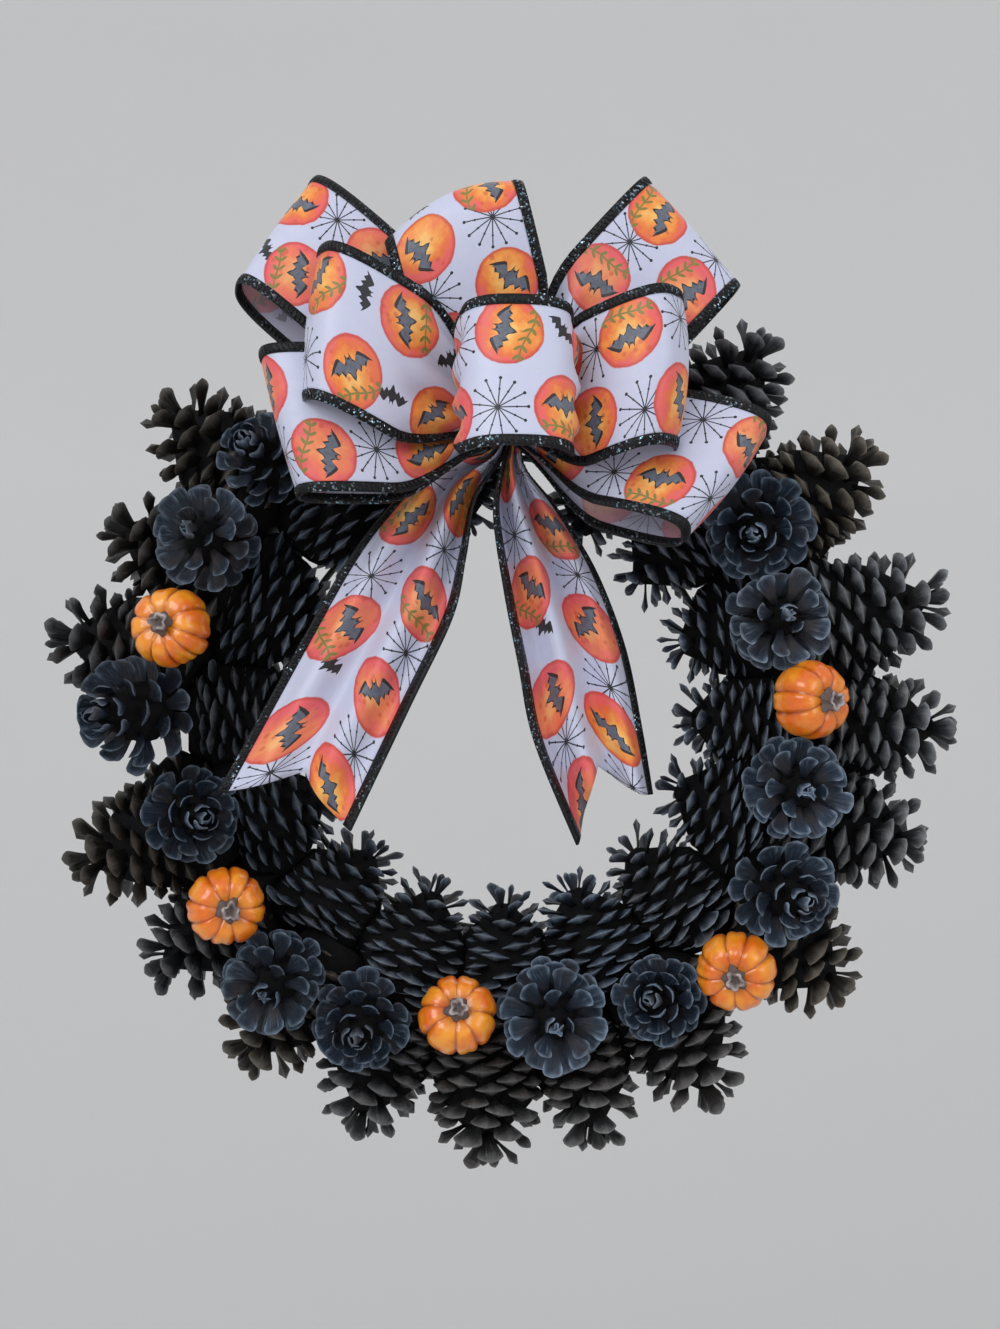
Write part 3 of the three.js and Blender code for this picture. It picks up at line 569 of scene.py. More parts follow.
def glitter_trim():
    """Black woven edging with blue and silver glitter."""
    material, tree, place = new_material("black_glitter_trim", (0.01, 0.01, 0.012), 0.35)
    flakes = add(tree, "ShaderNodeTexVoronoi", {"Vector": place, "Scale": 1300.0})
    pick = add(tree, "ShaderNodeSeparateColor", {"Color": flakes["Color"]})
    patches = ramp(noise(place, 45.0, 2.0), (0.45, 0.03), (0.62, 1.0))
    bright = ramp(pick, (0.88, 0.0), (0.93, 1.0)) * patches
    colour = mix(bright, (0.006, 0.006, 0.007), mix(pick[1], (0.16, 0.4, 0.55), (0.6, 0.66, 0.72)))
    inputs = {"Base Color": colour, "Metallic": bright * 0.8, "Roughness": bright * -0.2 + 0.4,
              "Specular IOR Level": 0.25}
    return set_shader(material, inputs, flakes["Distance"], 0.0003, 0.6)


def floor_paper():
    """Pale paper, greyer in the middle than where it sweeps up, as painted shade round and below the wreath.
    """
    material, tree, place = new_material("pale_paper", (0.76, 0.76, 0.76), 0.95)
    away = add(tree, "ShaderNodeVectorMath", {0: place}, operation="LENGTH")["Value"]
    # Painted shade: darker within about 2.4 m of the middle, fading out by 4.6 m
    away = add(tree, "ShaderNodeMapRange", {"Value": away, 1: 2.4, 2: 4.6})
    colour = mix(away, (0.665, 0.66, 0.655), (0.82, 0.815, 0.81))
    return set_shader(material, {"Base Color": mix(noise(place, 1.3, 2.0) * 0.06, colour, (0.6, 0.6, 0.6))})


# Printed ribbon: harvest moons with a bat and a leafy twig, small bats and starbursts, in two
# staggered rows; in metres
MOON_PITCH = 0.046
MOON_RADIUS = 0.0148
ROW_WIDTH = 0.03175
BAT_SPAN = 0.0112
SMALL_BAT_SPAN = 0.0085
BURST_RADIUS = 0.0125
BURST_STEP = FULL_TURN / 13
# Upper and lower outline of half a bat: place along the wing and height, as shares of half its span
BAT_OUTLINES = [
    [(0, 0.36), (0.06, 0.38), (0.1, 0.52), (0.15, 0.28), (0.24, 0.18), (0.45, 0.46), (0.55, 0.44),
     (0.8, 0.24), (1.0, 0.02)],
    [(0, -0.46), (0.08, -0.34), (0.14, -0.18), (0.26, -0.08), (0.38, -0.24), (0.52, 0.02),
     (0.66, -0.12), (0.8, 0.08), (1.0, 0.0)],
]


def bat_mask(x, y, half_span):
    """1 inside a flying bat's outline."""
    across, height = abs(x) / half_span, y / half_span
    edges = []
    for outline in BAT_OUTLINES:
        edge = add(x.tree, "ShaderNodeFloatCurve", {"Value": across})
        mapping = edge.socket.node.mapping
        points = mapping.curves[0].points
        mapping.use_clip = False
        while len(points) < len(outline):
            points.new(0.5, 0.5)
        for point, spot in zip(points, outline):
            point.location = spot
            point.handle_type = "VECTOR"
        mapping.update()
        edges.append(edge)
    top, bottom = edges
    return (height < top) * (height > bottom) * (across < 1.0)


def turned(x, y, angle):
    sine, cosine = angle.sine(), angle.cosine()
    return x * cosine - y * sine, x * sine + y * cosine


def distance(x, y):
    return (x * x + y * y).root()


def repeat_cell(u, v, offset):
    """Place within a staggered cell of the print, and two random numbers that belong to that cell."""
    row = (v / ROW_WIDTH).floor()
    y = v - (row + 0.5) * ROW_WIDTH
    slid = u + (row * (0.5 * MOON_PITCH) + offset * MOON_PITCH)
    cell = (slid / MOON_PITCH).floor()
    x = slid - (cell + 0.5) * MOON_PITCH
    seed = add(u.tree, "ShaderNodeCombineXYZ", {0: cell, 1: row, 2: 3.7 + offset})
    draw = add(u.tree, "ShaderNodeTexWhiteNoise", {"Vector": seed}, noise_dimensions="3D")
    parts = add(u.tree, "ShaderNodeSeparateColor", {"Color": draw["Color"]})
    return x, y, parts, parts[1]


def moon_paint(uv, x, y, first, second, wash):
    """A watercolour moon with pits: its mask and its colour, different from moon to moon."""
    radius = distance(x, y) / MOON_RADIUS + (wash * 0.13 - 0.065)
    mask = ((1.0 - radius) * 28.0).clamped()
    shade = radius + (wash * 1.3 - 0.65) + x * (second * 50.0 - 25.0)
    amber = ramp(shade, (0.05, (0.93, 0.56, 0.17)), (0.42, (0.89, 0.33, 0.065)),
                 (0.74, (0.80, 0.17, 0.05)), (0.95, (0.80, 0.13, 0.12)))
    rosy = ramp(shade, (0.05, (0.90, 0.42, 0.16)), (0.5, (0.84, 0.22, 0.10)), (0.95, (0.78, 0.12, 0.13)))
    craters = add(uv.tree, "ShaderNodeTexVoronoi", {"Vector": uv, "Scale": 190.0})["Distance"]
    pits = ramp(craters, (0.16, 0.6), (0.27, 0.0))
    colour = mix(pits, mix(first > 0.6, amber, rosy), (0.60, 0.09, 0.04))
    return mask, mix(ramp(radius, (0.86, 0.0), (0.95, 0.75)), colour, (0.52, 0.05, 0.035))


def twig_mask(x, y):
    """1 on a bent twig with small leaves on both sides."""
    off = abs(y + 0.0082 - (x * 210.0).sine() * 0.0013)
    beat = (x / 0.0042).fraction() - 0.5
    spread = off * 1000.0 - 1.5
    lobe = beat * 4.2 - spread * 0.7
    return (off < 0.0004).larger(lobe * lobe + spread * spread * 0.4 < 0.8)


def burst_mask(x, y, turn):
    """1 on a starburst: thin spokes with a bead part of the way out and one at the end."""
    far = distance(x, y)
    slot = ((y.angle_above(x) + turn) / BURST_STEP).fraction()
    wedge = slot * BURST_STEP - BURST_STEP / 2
    ahead, aside = far * wedge.cosine(), far * abs(wedge.sine())
    mask = (aside < 0.00026) * (ahead < BURST_RADIUS)
    for share, size in ((1.0, 0.0007), (0.62, 0.0005)):
        mask = mask.larger(distance(ahead - share * BURST_RADIUS, aside) < size)
    return mask


def printed_ribbon():
    """Bluish-white satin with a watercolour print; the reverse shows it faintly."""
    material, tree, _ = new_material("printed_satin_ribbon", (0.66, 0.67, 0.8), 0.42)
    uv = add(tree, "ShaderNodeUVMap", uv_map="UVMap")
    parts = add(tree, "ShaderNodeSeparateXYZ", {0: uv})
    wash = noise(uv, 130.0, 4.0, 0.6)

    x, y, first, second = repeat_cell(parts, parts[1], 0.0)
    x, y = x - (first * 0.009 - 0.0045), y - (second * 0.002 - 0.001)
    moon, moon_colour = moon_paint(uv, x, y, first, second, wash)
    x, y = turned(x, y, first * 6.28)
    twig = twig_mask(x, y) * (second > 0.35)
    raised = y - 0.0015
    slate = mix(noise(uv, 420.0, 3.0, 0.6), (0.05, 0.055, 0.07), (0.2, 0.22, 0.28))
    moon_colour = mix(twig, moon_colour, (0.24, 0.2, 0.05))
    moon_colour = mix(bat_mask(x, raised, BAT_SPAN), moon_colour, (0.03, 0.022, 0.024))
    moon_colour = mix(bat_mask(x * 1.16, raised * 1.3, BAT_SPAN), moon_colour, slate)

    x, y, first, second = repeat_cell(parts, parts[1], 0.5)
    x, y = x - (first * 0.006 - 0.003), y - (second * 0.005 - 0.0025)
    spin = second * 6.0
    is_burst = first > 0.42
    bat = bat_mask(*turned(x, y, spin), SMALL_BAT_SPAN)
    small = burst_mask(x, y, spin) * is_burst + bat * (1.0 - is_burst)

    colour = mix(wash, (0.53, 0.55, 0.72), (0.61, 0.62, 0.75))
    colour = mix(small, colour, (0.02, 0.02, 0.024))
    colour = mix(moon, colour, moon_colour)
    colour = mix(attribute(tree, "reverse"), colour, mix(0.5, colour, (0.56, 0.57, 0.7)))
    warp = add(tree, "ShaderNodeMapping", {"Vector": uv, "Scale": (900.0, 2400.0, 1.0)})
    weave = noise(warp, 1.0, 2.0)
    creased = add(tree, "ShaderNodeMapping", {"Vector": uv, "Scale": (34.0, 75.0, 1.0)})
    creases = noise(creased, 1.0, 2.0, 0.5, 0.6)
    inputs = {"Base Color": colour, "Sheen Weight": 0.15, "Sheen Roughness": 0.4,
              "Specular IOR Level": 0.4}
    return set_shader(material, inputs, creases * 7.0 + weave, 0.00012, 0.7)


# Room that each piece takes up

# How far apart two cones may lie, beyond half their lengths, and still be neighbours, and how far
# round a cone, a pumpkin and the tie's leg a point counts as near it
NEIGHBOUR_REACH = 45
CONE_MARGIN = 4
PUMPKIN_MARGIN = 5
LEG_MARGIN = 3
# A wall between two cones leans by the first of these that leaves room between them, in millimetres;
# one that faces the viewer by more than the last share doesn't lean
WALL_LEANS = (0.4, 0.28, 0.16)
WALL_ROOM = 2
FACES_VIEWER = 0.35
# Scales left with less than this share of their length are left out
LEAST_SHARE = 0.3


def round_body(base, tip, radius, outline):
    """A round body on an axis: where it stands, which way it points, and its outline."""
    base, tip = np.array(base, float), np.array(tip, float)
    length = np.linalg.norm(tip - base)
    shape = np.array(outline, float) * [length, radius]
    return dict(origin=base, axis=(tip - base) / length, length=length, radius=radius, outline=shape)


def furthest(body, direction):
    """Point of a round body that lies furthest along a direction."""
    rise = direction @ body["axis"]
    across = direction - rise * body["axis"]
    slope = np.linalg.norm(across)
    outline = body["outline"]
    pick = outline[np.argmax(outline[:, 0] * rise + outline[:, 1] * slope)]
    point = body["origin"] + body["axis"] * pick[0]
    return point + across * (pick[1] / slope) if slope > 1e-9 else point


def middle_of(body):
    return body["origin"] + body["axis"] * body["length"] / 2


def plane_between(first, second):
    """The flat surface between two round bodies that don't touch: its direction, from the second to
    the first, and where each body ends along it."""
    offset = middle_of(first) - middle_of(second)
    normal = unit(offset)
    widest = -math.inf
    for _ in range(160):
        size = np.linalg.norm(offset)
        direction = offset / size
        step = furthest(first, -direction) - furthest(second, direction)
        width = direction @ step
        if width > widest:
            widest, normal = width, direction
        if size - width < 1e-3:
            break
        change = step - offset
        share = min(1, max(0, -(offset @ change) / (change @ change)))
        if share < 1e-8:
            break
        offset = offset + change * share
    return normal, normal @ furthest(first, -normal), normal @ furthest(second, normal)


def dividing_wall(first, second, side):
    """The surface between two neighbours, leaning so that no straight gap shows from the front."""
    normal, near, far = plane_between(first, second)
    if abs(normal[1]) > FACES_VIEWER:
        return normal, near, far
    for lean in WALL_LEANS:
        leaning = unit(normal + np.array([0, lean * side, 0]))
        lean_near, lean_far = leaning @ furthest(first, -leaning), leaning @ furthest(second, leaning)
        if lean_near - lean_far > WALL_ROOM:
            return leaning, lean_near, lean_far
    return normal, near, far


def near_body(points, body, outline, margin):
    """Which points lie within the space that a neighbour fills."""
    offset = points - body["origin"]
    height = offset @ body["axis"]
    radius = np.linalg.norm(offset - height[:, None] * body["axis"], axis=1)
    low = outline[0][0] * body["length"] - margin
    high = outline[-1][0] * body["length"] + margin
    reach = table_value(outline, height / body["length"]) * body["radius"] + margin
    return (height > low) & (height < high) & (radius < reach)


cones = []
for prefix, rows, kind, warmth in CONE_ROWS:
    for i, row in enumerate(rows):
        name = f"{prefix}_{i + 1:02d}"
        cones.append(dict(name=name, kind=FLAT_OPEN if name in FLAT_ONES else kind, place=len(cones),
                          body=round_body(row[0:3], row[3:6], row[6], kind["core"]),
                          turn=math.radians(row[7]), warmth=warmth))
pumpkins = [dict(name=f"pumpkin_{i + 1}", body=round_body(row[0:3], row[3:6], row[6], PUMPKIN_OUTLINE),
                 turn=math.radians(row[7]), dip=row[8], lobes=row[9]) for i, row in enumerate(PUMPKINS)]
tie_leg = round_body([TIE_CENTRE[0], -1, KNOT[2] + 3], [TIE_CENTRE[0], -92, KNOT[2] + 3], 1,
                     [[0, 5], [0.9, 6], [1, 10.5]])


def walls_of(cone):
    """The walls that a cone's scales keep clear of: the direction and place of each, then the
    neighbour behind it, with the outline and margin of the space that it fills."""
    walls = []
    body = cone["body"]
    for other in cones:
        neighbour = other["body"]
        reach = body["length"] / 2 + neighbour["length"] / 2 + NEIGHBOUR_REACH
        if other is cone or np.linalg.norm(middle_of(body) - middle_of(neighbour)) > reach:
            continue
        first, second = sorted((cone, other), key=lambda one: one["place"])
        side = 1 - 2 * (first["place"] % 2)
        normal, near, far = dividing_wall(first["body"], second["body"], side)
        way = -1 if first is other else 1
        limit = way * (near + far) / 2 + GAP / 2
        walls.append((way * normal, limit, neighbour, other["kind"]["tips"], CONE_MARGIN))
    for other in pumpkins:
        normal, _, far = plane_between(body, other["body"])
        limit = far + GAP - other["dip"]
        walls.append((normal, limit, other["body"], PUMPKIN_OUTLINE, PUMPKIN_MARGIN))
    normal, _, far = plane_between(body, tie_leg)
    walls.append((normal, far + GAP, tie_leg, [[0, 4.5], [1, 10.5]], LEG_MARGIN))
    return walls


def clear_share(roots, points, walls, near):
    """How much of each line from a root to a point stays clear of the walls and the frame; near says
    for each wall which lines come near the neighbour behind it."""
    share = np.ones(len(roots))
    line = points - roots
    for (normal, limit, *_), close in zip(walls, near):
        start = np.maximum(roots @ normal - limit, 0)
        slope = line @ normal
        hit = close & (start + slope < 0) & (slope < 0)
        share = np.where(hit, np.minimum(share, -start / np.where(hit, slope, -1)), share)
    reach = RING_FRONT - GAP
    behind = (roots[:, 1] + line[:, 1] * share > reach) & (line[:, 1] > 0)
    back = (reach - roots[:, 1]) / np.where(behind, line[:, 1], 1)
    return np.where(behind, np.minimum(share, back), share)


# Pinecones

# One scale's cross-sections from root to end: place, half width, top, underside, lift and cup,
# where the end is 1 long, 1 wide and 1 thick
OPEN_SCALE = [
    [0.0, 0.16, 0.10, 0.12, 0.00, 0.00],
    [0.3, 0.25, 0.06, 0.12, 0.00, 0.02],
    [0.55, 0.38, 0.02, 0.12, 0.03, 0.08],
    [0.75, 0.49, 0.00, 0.12, 0.10, 0.15],
    [0.89, 0.5, 0.00, 0.13, 0.19, 0.17],
    [0.97, 0.4, 0.00, 0.13, 0.26, 0.12],
    [1.0, 0.26, -0.03, 0.08, 0.28, 0.05],
]
KNOBBED_SCALE = [
    [0.0, 0.15, 0.14, 0.14, 0.00, 0.00],
    [0.35, 0.22, 0.13, 0.16, 0.00, 0.00],
    [0.6, 0.36, 0.20, 0.26, 0.02, 0.00],
    [0.76, 0.48, 0.36, 0.42, 0.05, 0.00],
    [0.84, 0.5, 0.42, 0.48, 0.07, 0.00],
    [0.93, 0.36, 0.20, 0.25, 0.09, 0.00],
]


def scale_form(name, rows, keel):
    """One pinecone scale: eight points round each cross-section, closed by a ridge at its end; with a
    keel its top and underside meet in an edge along the middle."""
    spots = [-1, -0.6, 0, 0.6, 1, 0.6, 0, -0.6]
    points, rim, grain = [], [], []
    for place, half, top, under, lift, cup in rows:
        for k, s in enumerate(spots):
            rise = (top if k < 4 else -under) * (1 - (abs(s) if keel else s * s))
            points.append([s * half, place, lift + cup * s * s + rise])
            # rim: 1 on the scale's edges and end, which the paint shows lighter, for wear and as a painted
            # highlight
            outer = s * s * min(1, max(0, (place - 0.45) / 0.3))
            end = min(1, max(0, (place - 0.78) / 0.2))
            rim.append(max(outer, end * (0.9 if keel else 0.75)))
            grain.append([s, place, 0.0])
    first, ridge = len(points) - 8, len(points)
    bulges, drop = ([0.05, 0.09], 0.0) if keel else ([0.02, 0.035], under * 0.4)
    for s in (-0.6, 0, 0.6):
        points.append([s * half * 0.9, place + bulges[s == 0], lift + cup * s * s - drop])
        rim.append(1.0)
        grain.append([s, place, 0.0])
    end_faces = [[0, 1, 8], [1, 2, 9, 8], [2, 3, 10, 9], [3, 4, 10], [4, 5, 10], [5, 6, 9, 10], [6, 7, 8, 9],
                 [7, 0, 8]]
    faces = grid_faces(len(rows), 8) + [[first + i for i in face] for face in end_faces]
    faces.append([7, 6, 5, 4, 3, 2, 1, 0])
    mesh = bpy.data.meshes.new(name)
    mesh.from_pydata(points, [], faces)
    store(mesh, "rim", rim)
    store(mesh, "grain", grain)
    mesh.shade_smooth()
    for edge in mesh.edges:
        edge.use_edge_sharp = all(i % 8 in (0, 4) or i >= ridge for i in edge.vertices)
    return in_scene(name, mesh)


def new_tree(name, inputs):
    """A Geometry Nodes tree with named inputs besides its geometry. Gives the tree, its inputs, its
    marked root points, its other geometry, and the way that each root faces."""
    tree = bpy.data.node_groups.new(name, "GeometryNodeTree")
    for key, kind in (("Geometry", "Geometry"), *inputs):
        tree.interface.new_socket(key, in_out="INPUT", socket_type="NodeSocket" + kind)
    tree.interface.new_socket("Geometry", in_out="OUTPUT", socket_type="NodeSocketGeometry")
    given = Value(tree.nodes.new("NodeGroupInput").outputs[0])
    marked = add(tree, "GeometryNodeInputNamedAttribute", {"Name": "is_root"}, data_type="FLOAT")
    chosen = add(tree, "FunctionNodeCompare", {0: marked, 1: 0.5}, operation="GREATER_THAN")
    split = add(tree, "GeometryNodeSeparateGeometry", {"Geometry": given, "Selection": chosen},
                domain="POINT")
    turn = add(tree, "GeometryNodeInputNamedAttribute", {"Name": "root_turn"}, data_type="FLOAT_VECTOR")
    facing = add(tree, "FunctionNodeEulerToRotation", {0: turn})
    return tree, given, split["Selection"], split["Inverted"], facing


def on_points(points, form, rotation, size):
    inputs = {"Points": points, "Instance": form, "Rotation": rotation, "Scale": size}
    return add(points.tree, "GeometryNodeInstanceOnPoints", inputs)


def painted(geometry, material):
    return add(geometry.tree, "GeometryNodeSetMaterial", {"Geometry": geometry, "Material": material})


def join(first, second):
    """Both geometries in one."""
    joined = add(first.tree, "GeometryNodeJoinGeometry", {0: first})
    feed(joined.socket.node.inputs[0], second)
    return joined


def scale_tree():
    """Geometry Nodes: a scale on every root point, around the core that comes with them."""
    tree, given, roots, rest, facing = new_tree("pinecone_scales", [
        ("Scale form", "Object"), ("Scale paint", "Material"), ("Core paint", "Material"),
        ("Size spread", "Float"), ("Seed", "Int")])
    size = add(tree, "GeometryNodeInputNamedAttribute", {"Name": "root_size"}, data_type="FLOAT_VECTOR")
    form = add(tree, "GeometryNodeObjectInfo", {"Object": given["Scale form"]})["Geometry"]
    limits = {"Seed": given["Seed"], 2: 1.0 - given["Size spread"], 3: given["Size spread"] + 1.0}
    vary = add(tree, "FunctionNodeRandomValue", limits, data_type="FLOAT")[1]
    widths = add(tree, "ShaderNodeCombineXYZ", {0: vary, 1: 1.0, 2: vary})
    sized = add(tree, "ShaderNodeVectorMath", {0: size, 1: widths}, operation="MULTIPLY")
    placed = on_points(roots, form, facing, sized)
    tone = add(tree, "FunctionNodeRandomValue", {"Seed": given["Seed"]}, data_type="FLOAT")[1]
    toned = add(tree, "GeometryNodeStoreNamedAttribute", {"Geometry": placed, "Name": "tone", "Value": tone},
                data_type="FLOAT", domain="INSTANCE")
    real = add(tree, "GeometryNodeRealizeInstances", {"Geometry": toned})
    whole = join(painted(rest, given["Core paint"]), painted(real, given["Scale paint"]))
    feed(tree.nodes.new("NodeGroupOutput").inputs[0], whole)
    return tree


def side_flare(kind, height, depth):
    """How far the base spreads toward the wreath's inside and outside, where neighbours leave room."""
    low = 1 - smoothstep((height - 0.12) / 0.3)
    return 1 + kind["flare"] * low * (1 - smoothstep((np.abs(depth) - 0.35) / 0.4))


def cone_body(body, kind, walls, draw):
    """Points and faces of the dark closed body between a cone's scales, which stands in for the shade
    between them, flatter at the front and kept off its neighbours."""
    sides, rows = 24, 14
    heights = np.linspace(kind["body"][0][0], kind["body"][-1][0], rows)
    e1, e2 = across_axis(body["axis"])
    angle = FULL_TURN * np.arange(sides) / sides
    radial = np.cos(angle)[:, None] * e1 + np.sin(angle)[:, None] * e2
    reach = table_value(kind["body"], heights)[:, None] * body["radius"]
    reach = reach * draw.uniform(0.93, 1.0, (rows, sides))
    reach = reach * (1 + (kind["front"] - 1) * smoothstep((np.abs(radial[:, 1]) - 0.15) / 0.5))
    reach = reach * side_flare(kind, heights[:, None], radial[:, 1])
    spine = body["origin"] + body["axis"] * np.repeat(heights, sides)[:, None] * body["length"]
    targets = spine + np.tile(radial, (rows, 1)) * reach.reshape(-1, 1)
    near = [near_body(targets, *wall[2:]) for wall in walls]
    points = spine + (targets - spine) * clear_share(spine, targets, walls, near)[:, None]
    return points, closed_skin(rows, sides)


def pinecone(cone, tree, form, paint, core_material, number):
    """One pinecone: scales on a golden spiral, each shortened where a neighbour is in its way."""
    body, kind = cone["body"], cone["kind"]
    axis, length, radius = body["axis"], body["length"], body["radius"]
    draw = np.random.default_rng(number)
    e1, e2 = across_axis(axis)
    count = kind["scales"] + kind["bud"]
    k = np.arange(count)
    progress = np.minimum(k / (kind["scales"] - 1), 1)
    in_bud = np.maximum(k - kind["scales"] + 1, 0) / max(kind["bud"], 1)
    height = kind["top_root"] * (1 - (1 - progress) ** kind["sparser"])
    angle = cone["turn"] + k * GOLDEN_TURN + draw.uniform(-0.07, 0.07, count)
    radial = np.cos(angle)[:, None] * e1 + np.sin(angle)[:, None] * e2

    late = (height / kind["top_root"]) ** kind["lean_late"]
    tip_height = height + kind["lean_low"] + (kind["lean_high"] - kind["lean_low"]) * late
    core_radius = table_value(kind["core"], height) * radius * 0.8 * (1 - 0.6 * late**3)
    tip_radius = table_value(kind["tips"], tip_height) * radius
    tip_radius = tip_radius * draw.uniform(kind["ragged"], 1.0, count)
    tip_radius = tip_radius * side_flare(kind, tip_height, radial[:, 1]) * (1 - 0.85 * in_bud**0.6)
    roots = body["origin"] + axis * (height * length)[:, None] + radial * core_radius[:, None]
    tips = body["origin"] + axis * (tip_height * length)[:, None] + radial * tip_radius[:, None]
    long = np.linalg.norm(tips - roots, axis=1)
    along = (tips - roots) / long[:, None]
    across = np.cross(axis, radial)
    up = np.cross(along, across)
    width = kind["width"] * (radius / 30) ** 0.5 * np.minimum(1, kind["taper"] + 1.5 * (1 - height))
    width = width * (1 - 0.45 * in_bud)
    thick = kind["thick"] * np.minimum(1, 0.6 + 1.2 * (1 - height)) * (1 - 0.35 * in_bud)

    walls = walls_of(cone)
    aside, above = across * (width * 0.22)[:, None], up * (thick * 0.3)[:, None]
    ends = [tips, tips + aside, tips - aside, tips + above, tips - above]
    inner = [tips + (roots - tips) * part for part in (0.25, 0.5)]
    near = [np.any([near_body(points, *wall[2:]) for points in ends + inner], axis=0) for wall in walls]
    share = np.min([clear_share(roots, points, walls, near) for points in ends], axis=0)
    keep = np.nonzero(share > LEAST_SHARE)[0]
    points, faces = cone_body(body, kind, walls, draw)
    first = len(points)
    points = np.vstack([points, roots[keep]])
    turns, sizes = np.zeros((len(points), 3)), np.zeros((len(points), 3))
    for row, i in enumerate(keep, first):
        matrix = Matrix([(-across[i]).tolist(), along[i].tolist(), up[i].tolist()]).transposed()
        roll = Matrix.Rotation(draw.uniform(-0.16, 0.16), 3, "Y")
        roll = roll @ Matrix.Rotation(draw.uniform(-0.08, 0.08), 3, "X")
        turns[row] = (matrix @ roll).to_euler()
        sizes[row] = [width[i] / 1000, long[i] * share[i] / 1000, thick[i] / 1000]
    values = {"root_turn": turns, "root_size": sizes, "is_root": np.arange(len(points)) >= first}
    piece = made(cone["name"] + "_fine", points, faces, values=values)
    with_modifier(piece, tree, {"Scale form": form, "Scale paint": paint, "Core paint": core_material,
                                "Size spread": 0.12, "Seed": number})
    everywhere = np.ones(len(piece.data.vertices))
    store(piece.data, "warmth", everywhere * max(0, cone["warmth"] + draw.uniform(-0.2, 0.2)))
    # Painted light: cones further right get a higher value and so lighter paint, on top of a random tone
    right_light_and_tone = 0.45 + body["origin"][0] / 180 + draw.uniform(-0.3, 0.3)
    store(piece.data, "cone_tone", everywhere * right_light_and_tone)
    hand_in(piece, cone["name"])


# Pumpkins

def pumpkin(item, skin, number):
    """A ribbed pumpkin: round lobes with narrow grooves between them, dimpled at both ends."""
    body, lobes = item["body"], item["lobes"]
    axis, length, radius = body["axis"], body["length"], body["radius"]
    draw = np.random.default_rng(number)
    edges = np.cumsum(draw.uniform(0.72, 1.28, lobes))
    edges = np.concatenate([[0], edges / edges[-1]]) * FULL_TURN
    per_lobe, rows = 10, 27
    around = lobes * per_lobe
    swell = np.repeat(draw.uniform(0.9, 1.0, lobes), per_lobe)
    t = np.tile(np.arange(per_lobe) / per_lobe, lobes)
    angle = item["turn"] + np.repeat(edges[:-1], per_lobe) + np.repeat(np.diff(edges), per_lobe) * t
    e1, e2 = across_axis(axis)
    radial = np.cos(angle)[:, None] * e1 + np.sin(angle)[:, None] * e2
    side = np.abs(2 * t - 1)

    place = np.linspace(0, 1, rows)[:, None]
    latitude = math.pi * (0.03 + 0.94 * place)
    ring = np.sin(latitude) ** 0.72
    dimple = 0.1 * np.exp(-((place / 0.12) ** 2)) - 0.13 * np.exp(-(((1 - place) / 0.16) ** 2))
    height = 0.02 + 0.96 * (0.5 - 0.5 * np.cos(latitude)) + dimple * (1 - ring)
    drop = 0.05 * (1 - side**4) * np.exp(-(((1 - place) / 0.25) ** 2))
    reach = ring * swell ** (1 - side) * (1 - 0.15 * side**4 * np.minimum(1, ring * 1.3))
    points = body["origin"] + axis * ((height + drop * 0.5) * length)[..., None]
    points = (points + radial * (radius * reach)[..., None]).reshape(-1, 3)
    # groove: where painted shade darkens the skin, in the grooves and in the hollow round the stem
    groove = np.maximum(side**6, 0.75 * np.exp(-(((1 - place) / 0.1) ** 2))).ravel()

    faces = grid_faces(rows, around)
    low, last = len(points), (rows - 1) * around
    points = np.vstack([points, [body["origin"] + axis * end * length for end in (0.07, STEM_SEAT)]])
    for i in range(around):
        j = (i + 1) % around
        faces += [[low, j, i], [low + 1, last + i, last + j]]
    values = {"groove": np.append(groove, [1.0, 1.0])}
    hand_in(made(item["name"] + "_skin", points, faces, skin, values=values), item["name"])


def pumpkin_stem(item, bark, number):
    """A short wide stem with ribs, flared where it meets the pumpkin and cut off flat."""
    body = item["body"]
    e1, e2 = across_axis(body["axis"])
    ribs, around = 5, 40
    height, radius, lean, cut = np.array(STEM).T[:, :, None]
    base_angle = FULL_TURN * np.arange(around) / around
    angle = base_angle + 0.1 * height + number
    rib = 1 + 0.17 * np.cos(ribs * base_angle) + 0.12 * np.sin(3 * base_angle + 2 * number)
    radial = np.cos(angle)[..., None] * e1 + np.sin(angle)[..., None] * e2
    rise = STEM_SEAT * body["length"] + height
    middle = body["origin"] + body["axis"] * rise[..., None] + e1 * lean[..., None]
    points = middle + radial * (radius * rib)[..., None]
    piece = made(item["name"] + "_stem_bark", points, closed_skin(len(STEM), around), bark,
                 values={"cut": np.repeat(cut, around)})
    hand_in(piece, item["name"] + "_stem")


# Wires

def ring_tube(radius, y, wire, steps=120, sides=10):
    """A closed round ring of wire about the y axis."""
    a = (FULL_TURN * np.arange(steps) / steps)[:, None]
    b = FULL_TURN * np.arange(sides) / sides
    reach = radius + wire * np.cos(b)
    points = np.stack([reach * np.cos(a), y + wire * np.sin(b) + 0 * a, reach * np.sin(a)], axis=2)
    count = steps * sides
    faces = [[i % count for i in face] for face in grid_faces(steps + 1, sides)]
    return points.reshape(-1, 3), faces


def tube(line, radius, sides):
    """A round wire along a line of points, closed at both ends."""
    line = np.asarray(line, float)
    points = []
    side = np.array([0.3, 0.2, 0.93])
    for i, spot in enumerate(line):
        run = unit(line[min(i + 1, len(line) - 1)] - line[max(i - 1, 0)])
        side = unit(np.cross(run, side)) if i == 0 else unit(side - (side @ run) * run)
        other = np.cross(run, side)
        for j in range(sides):
            b = FULL_TURN * j / sides
            points.append(spot + radius * (side * math.cos(b) + other * math.sin(b)))
    return points, closed_skin(len(line), sides)


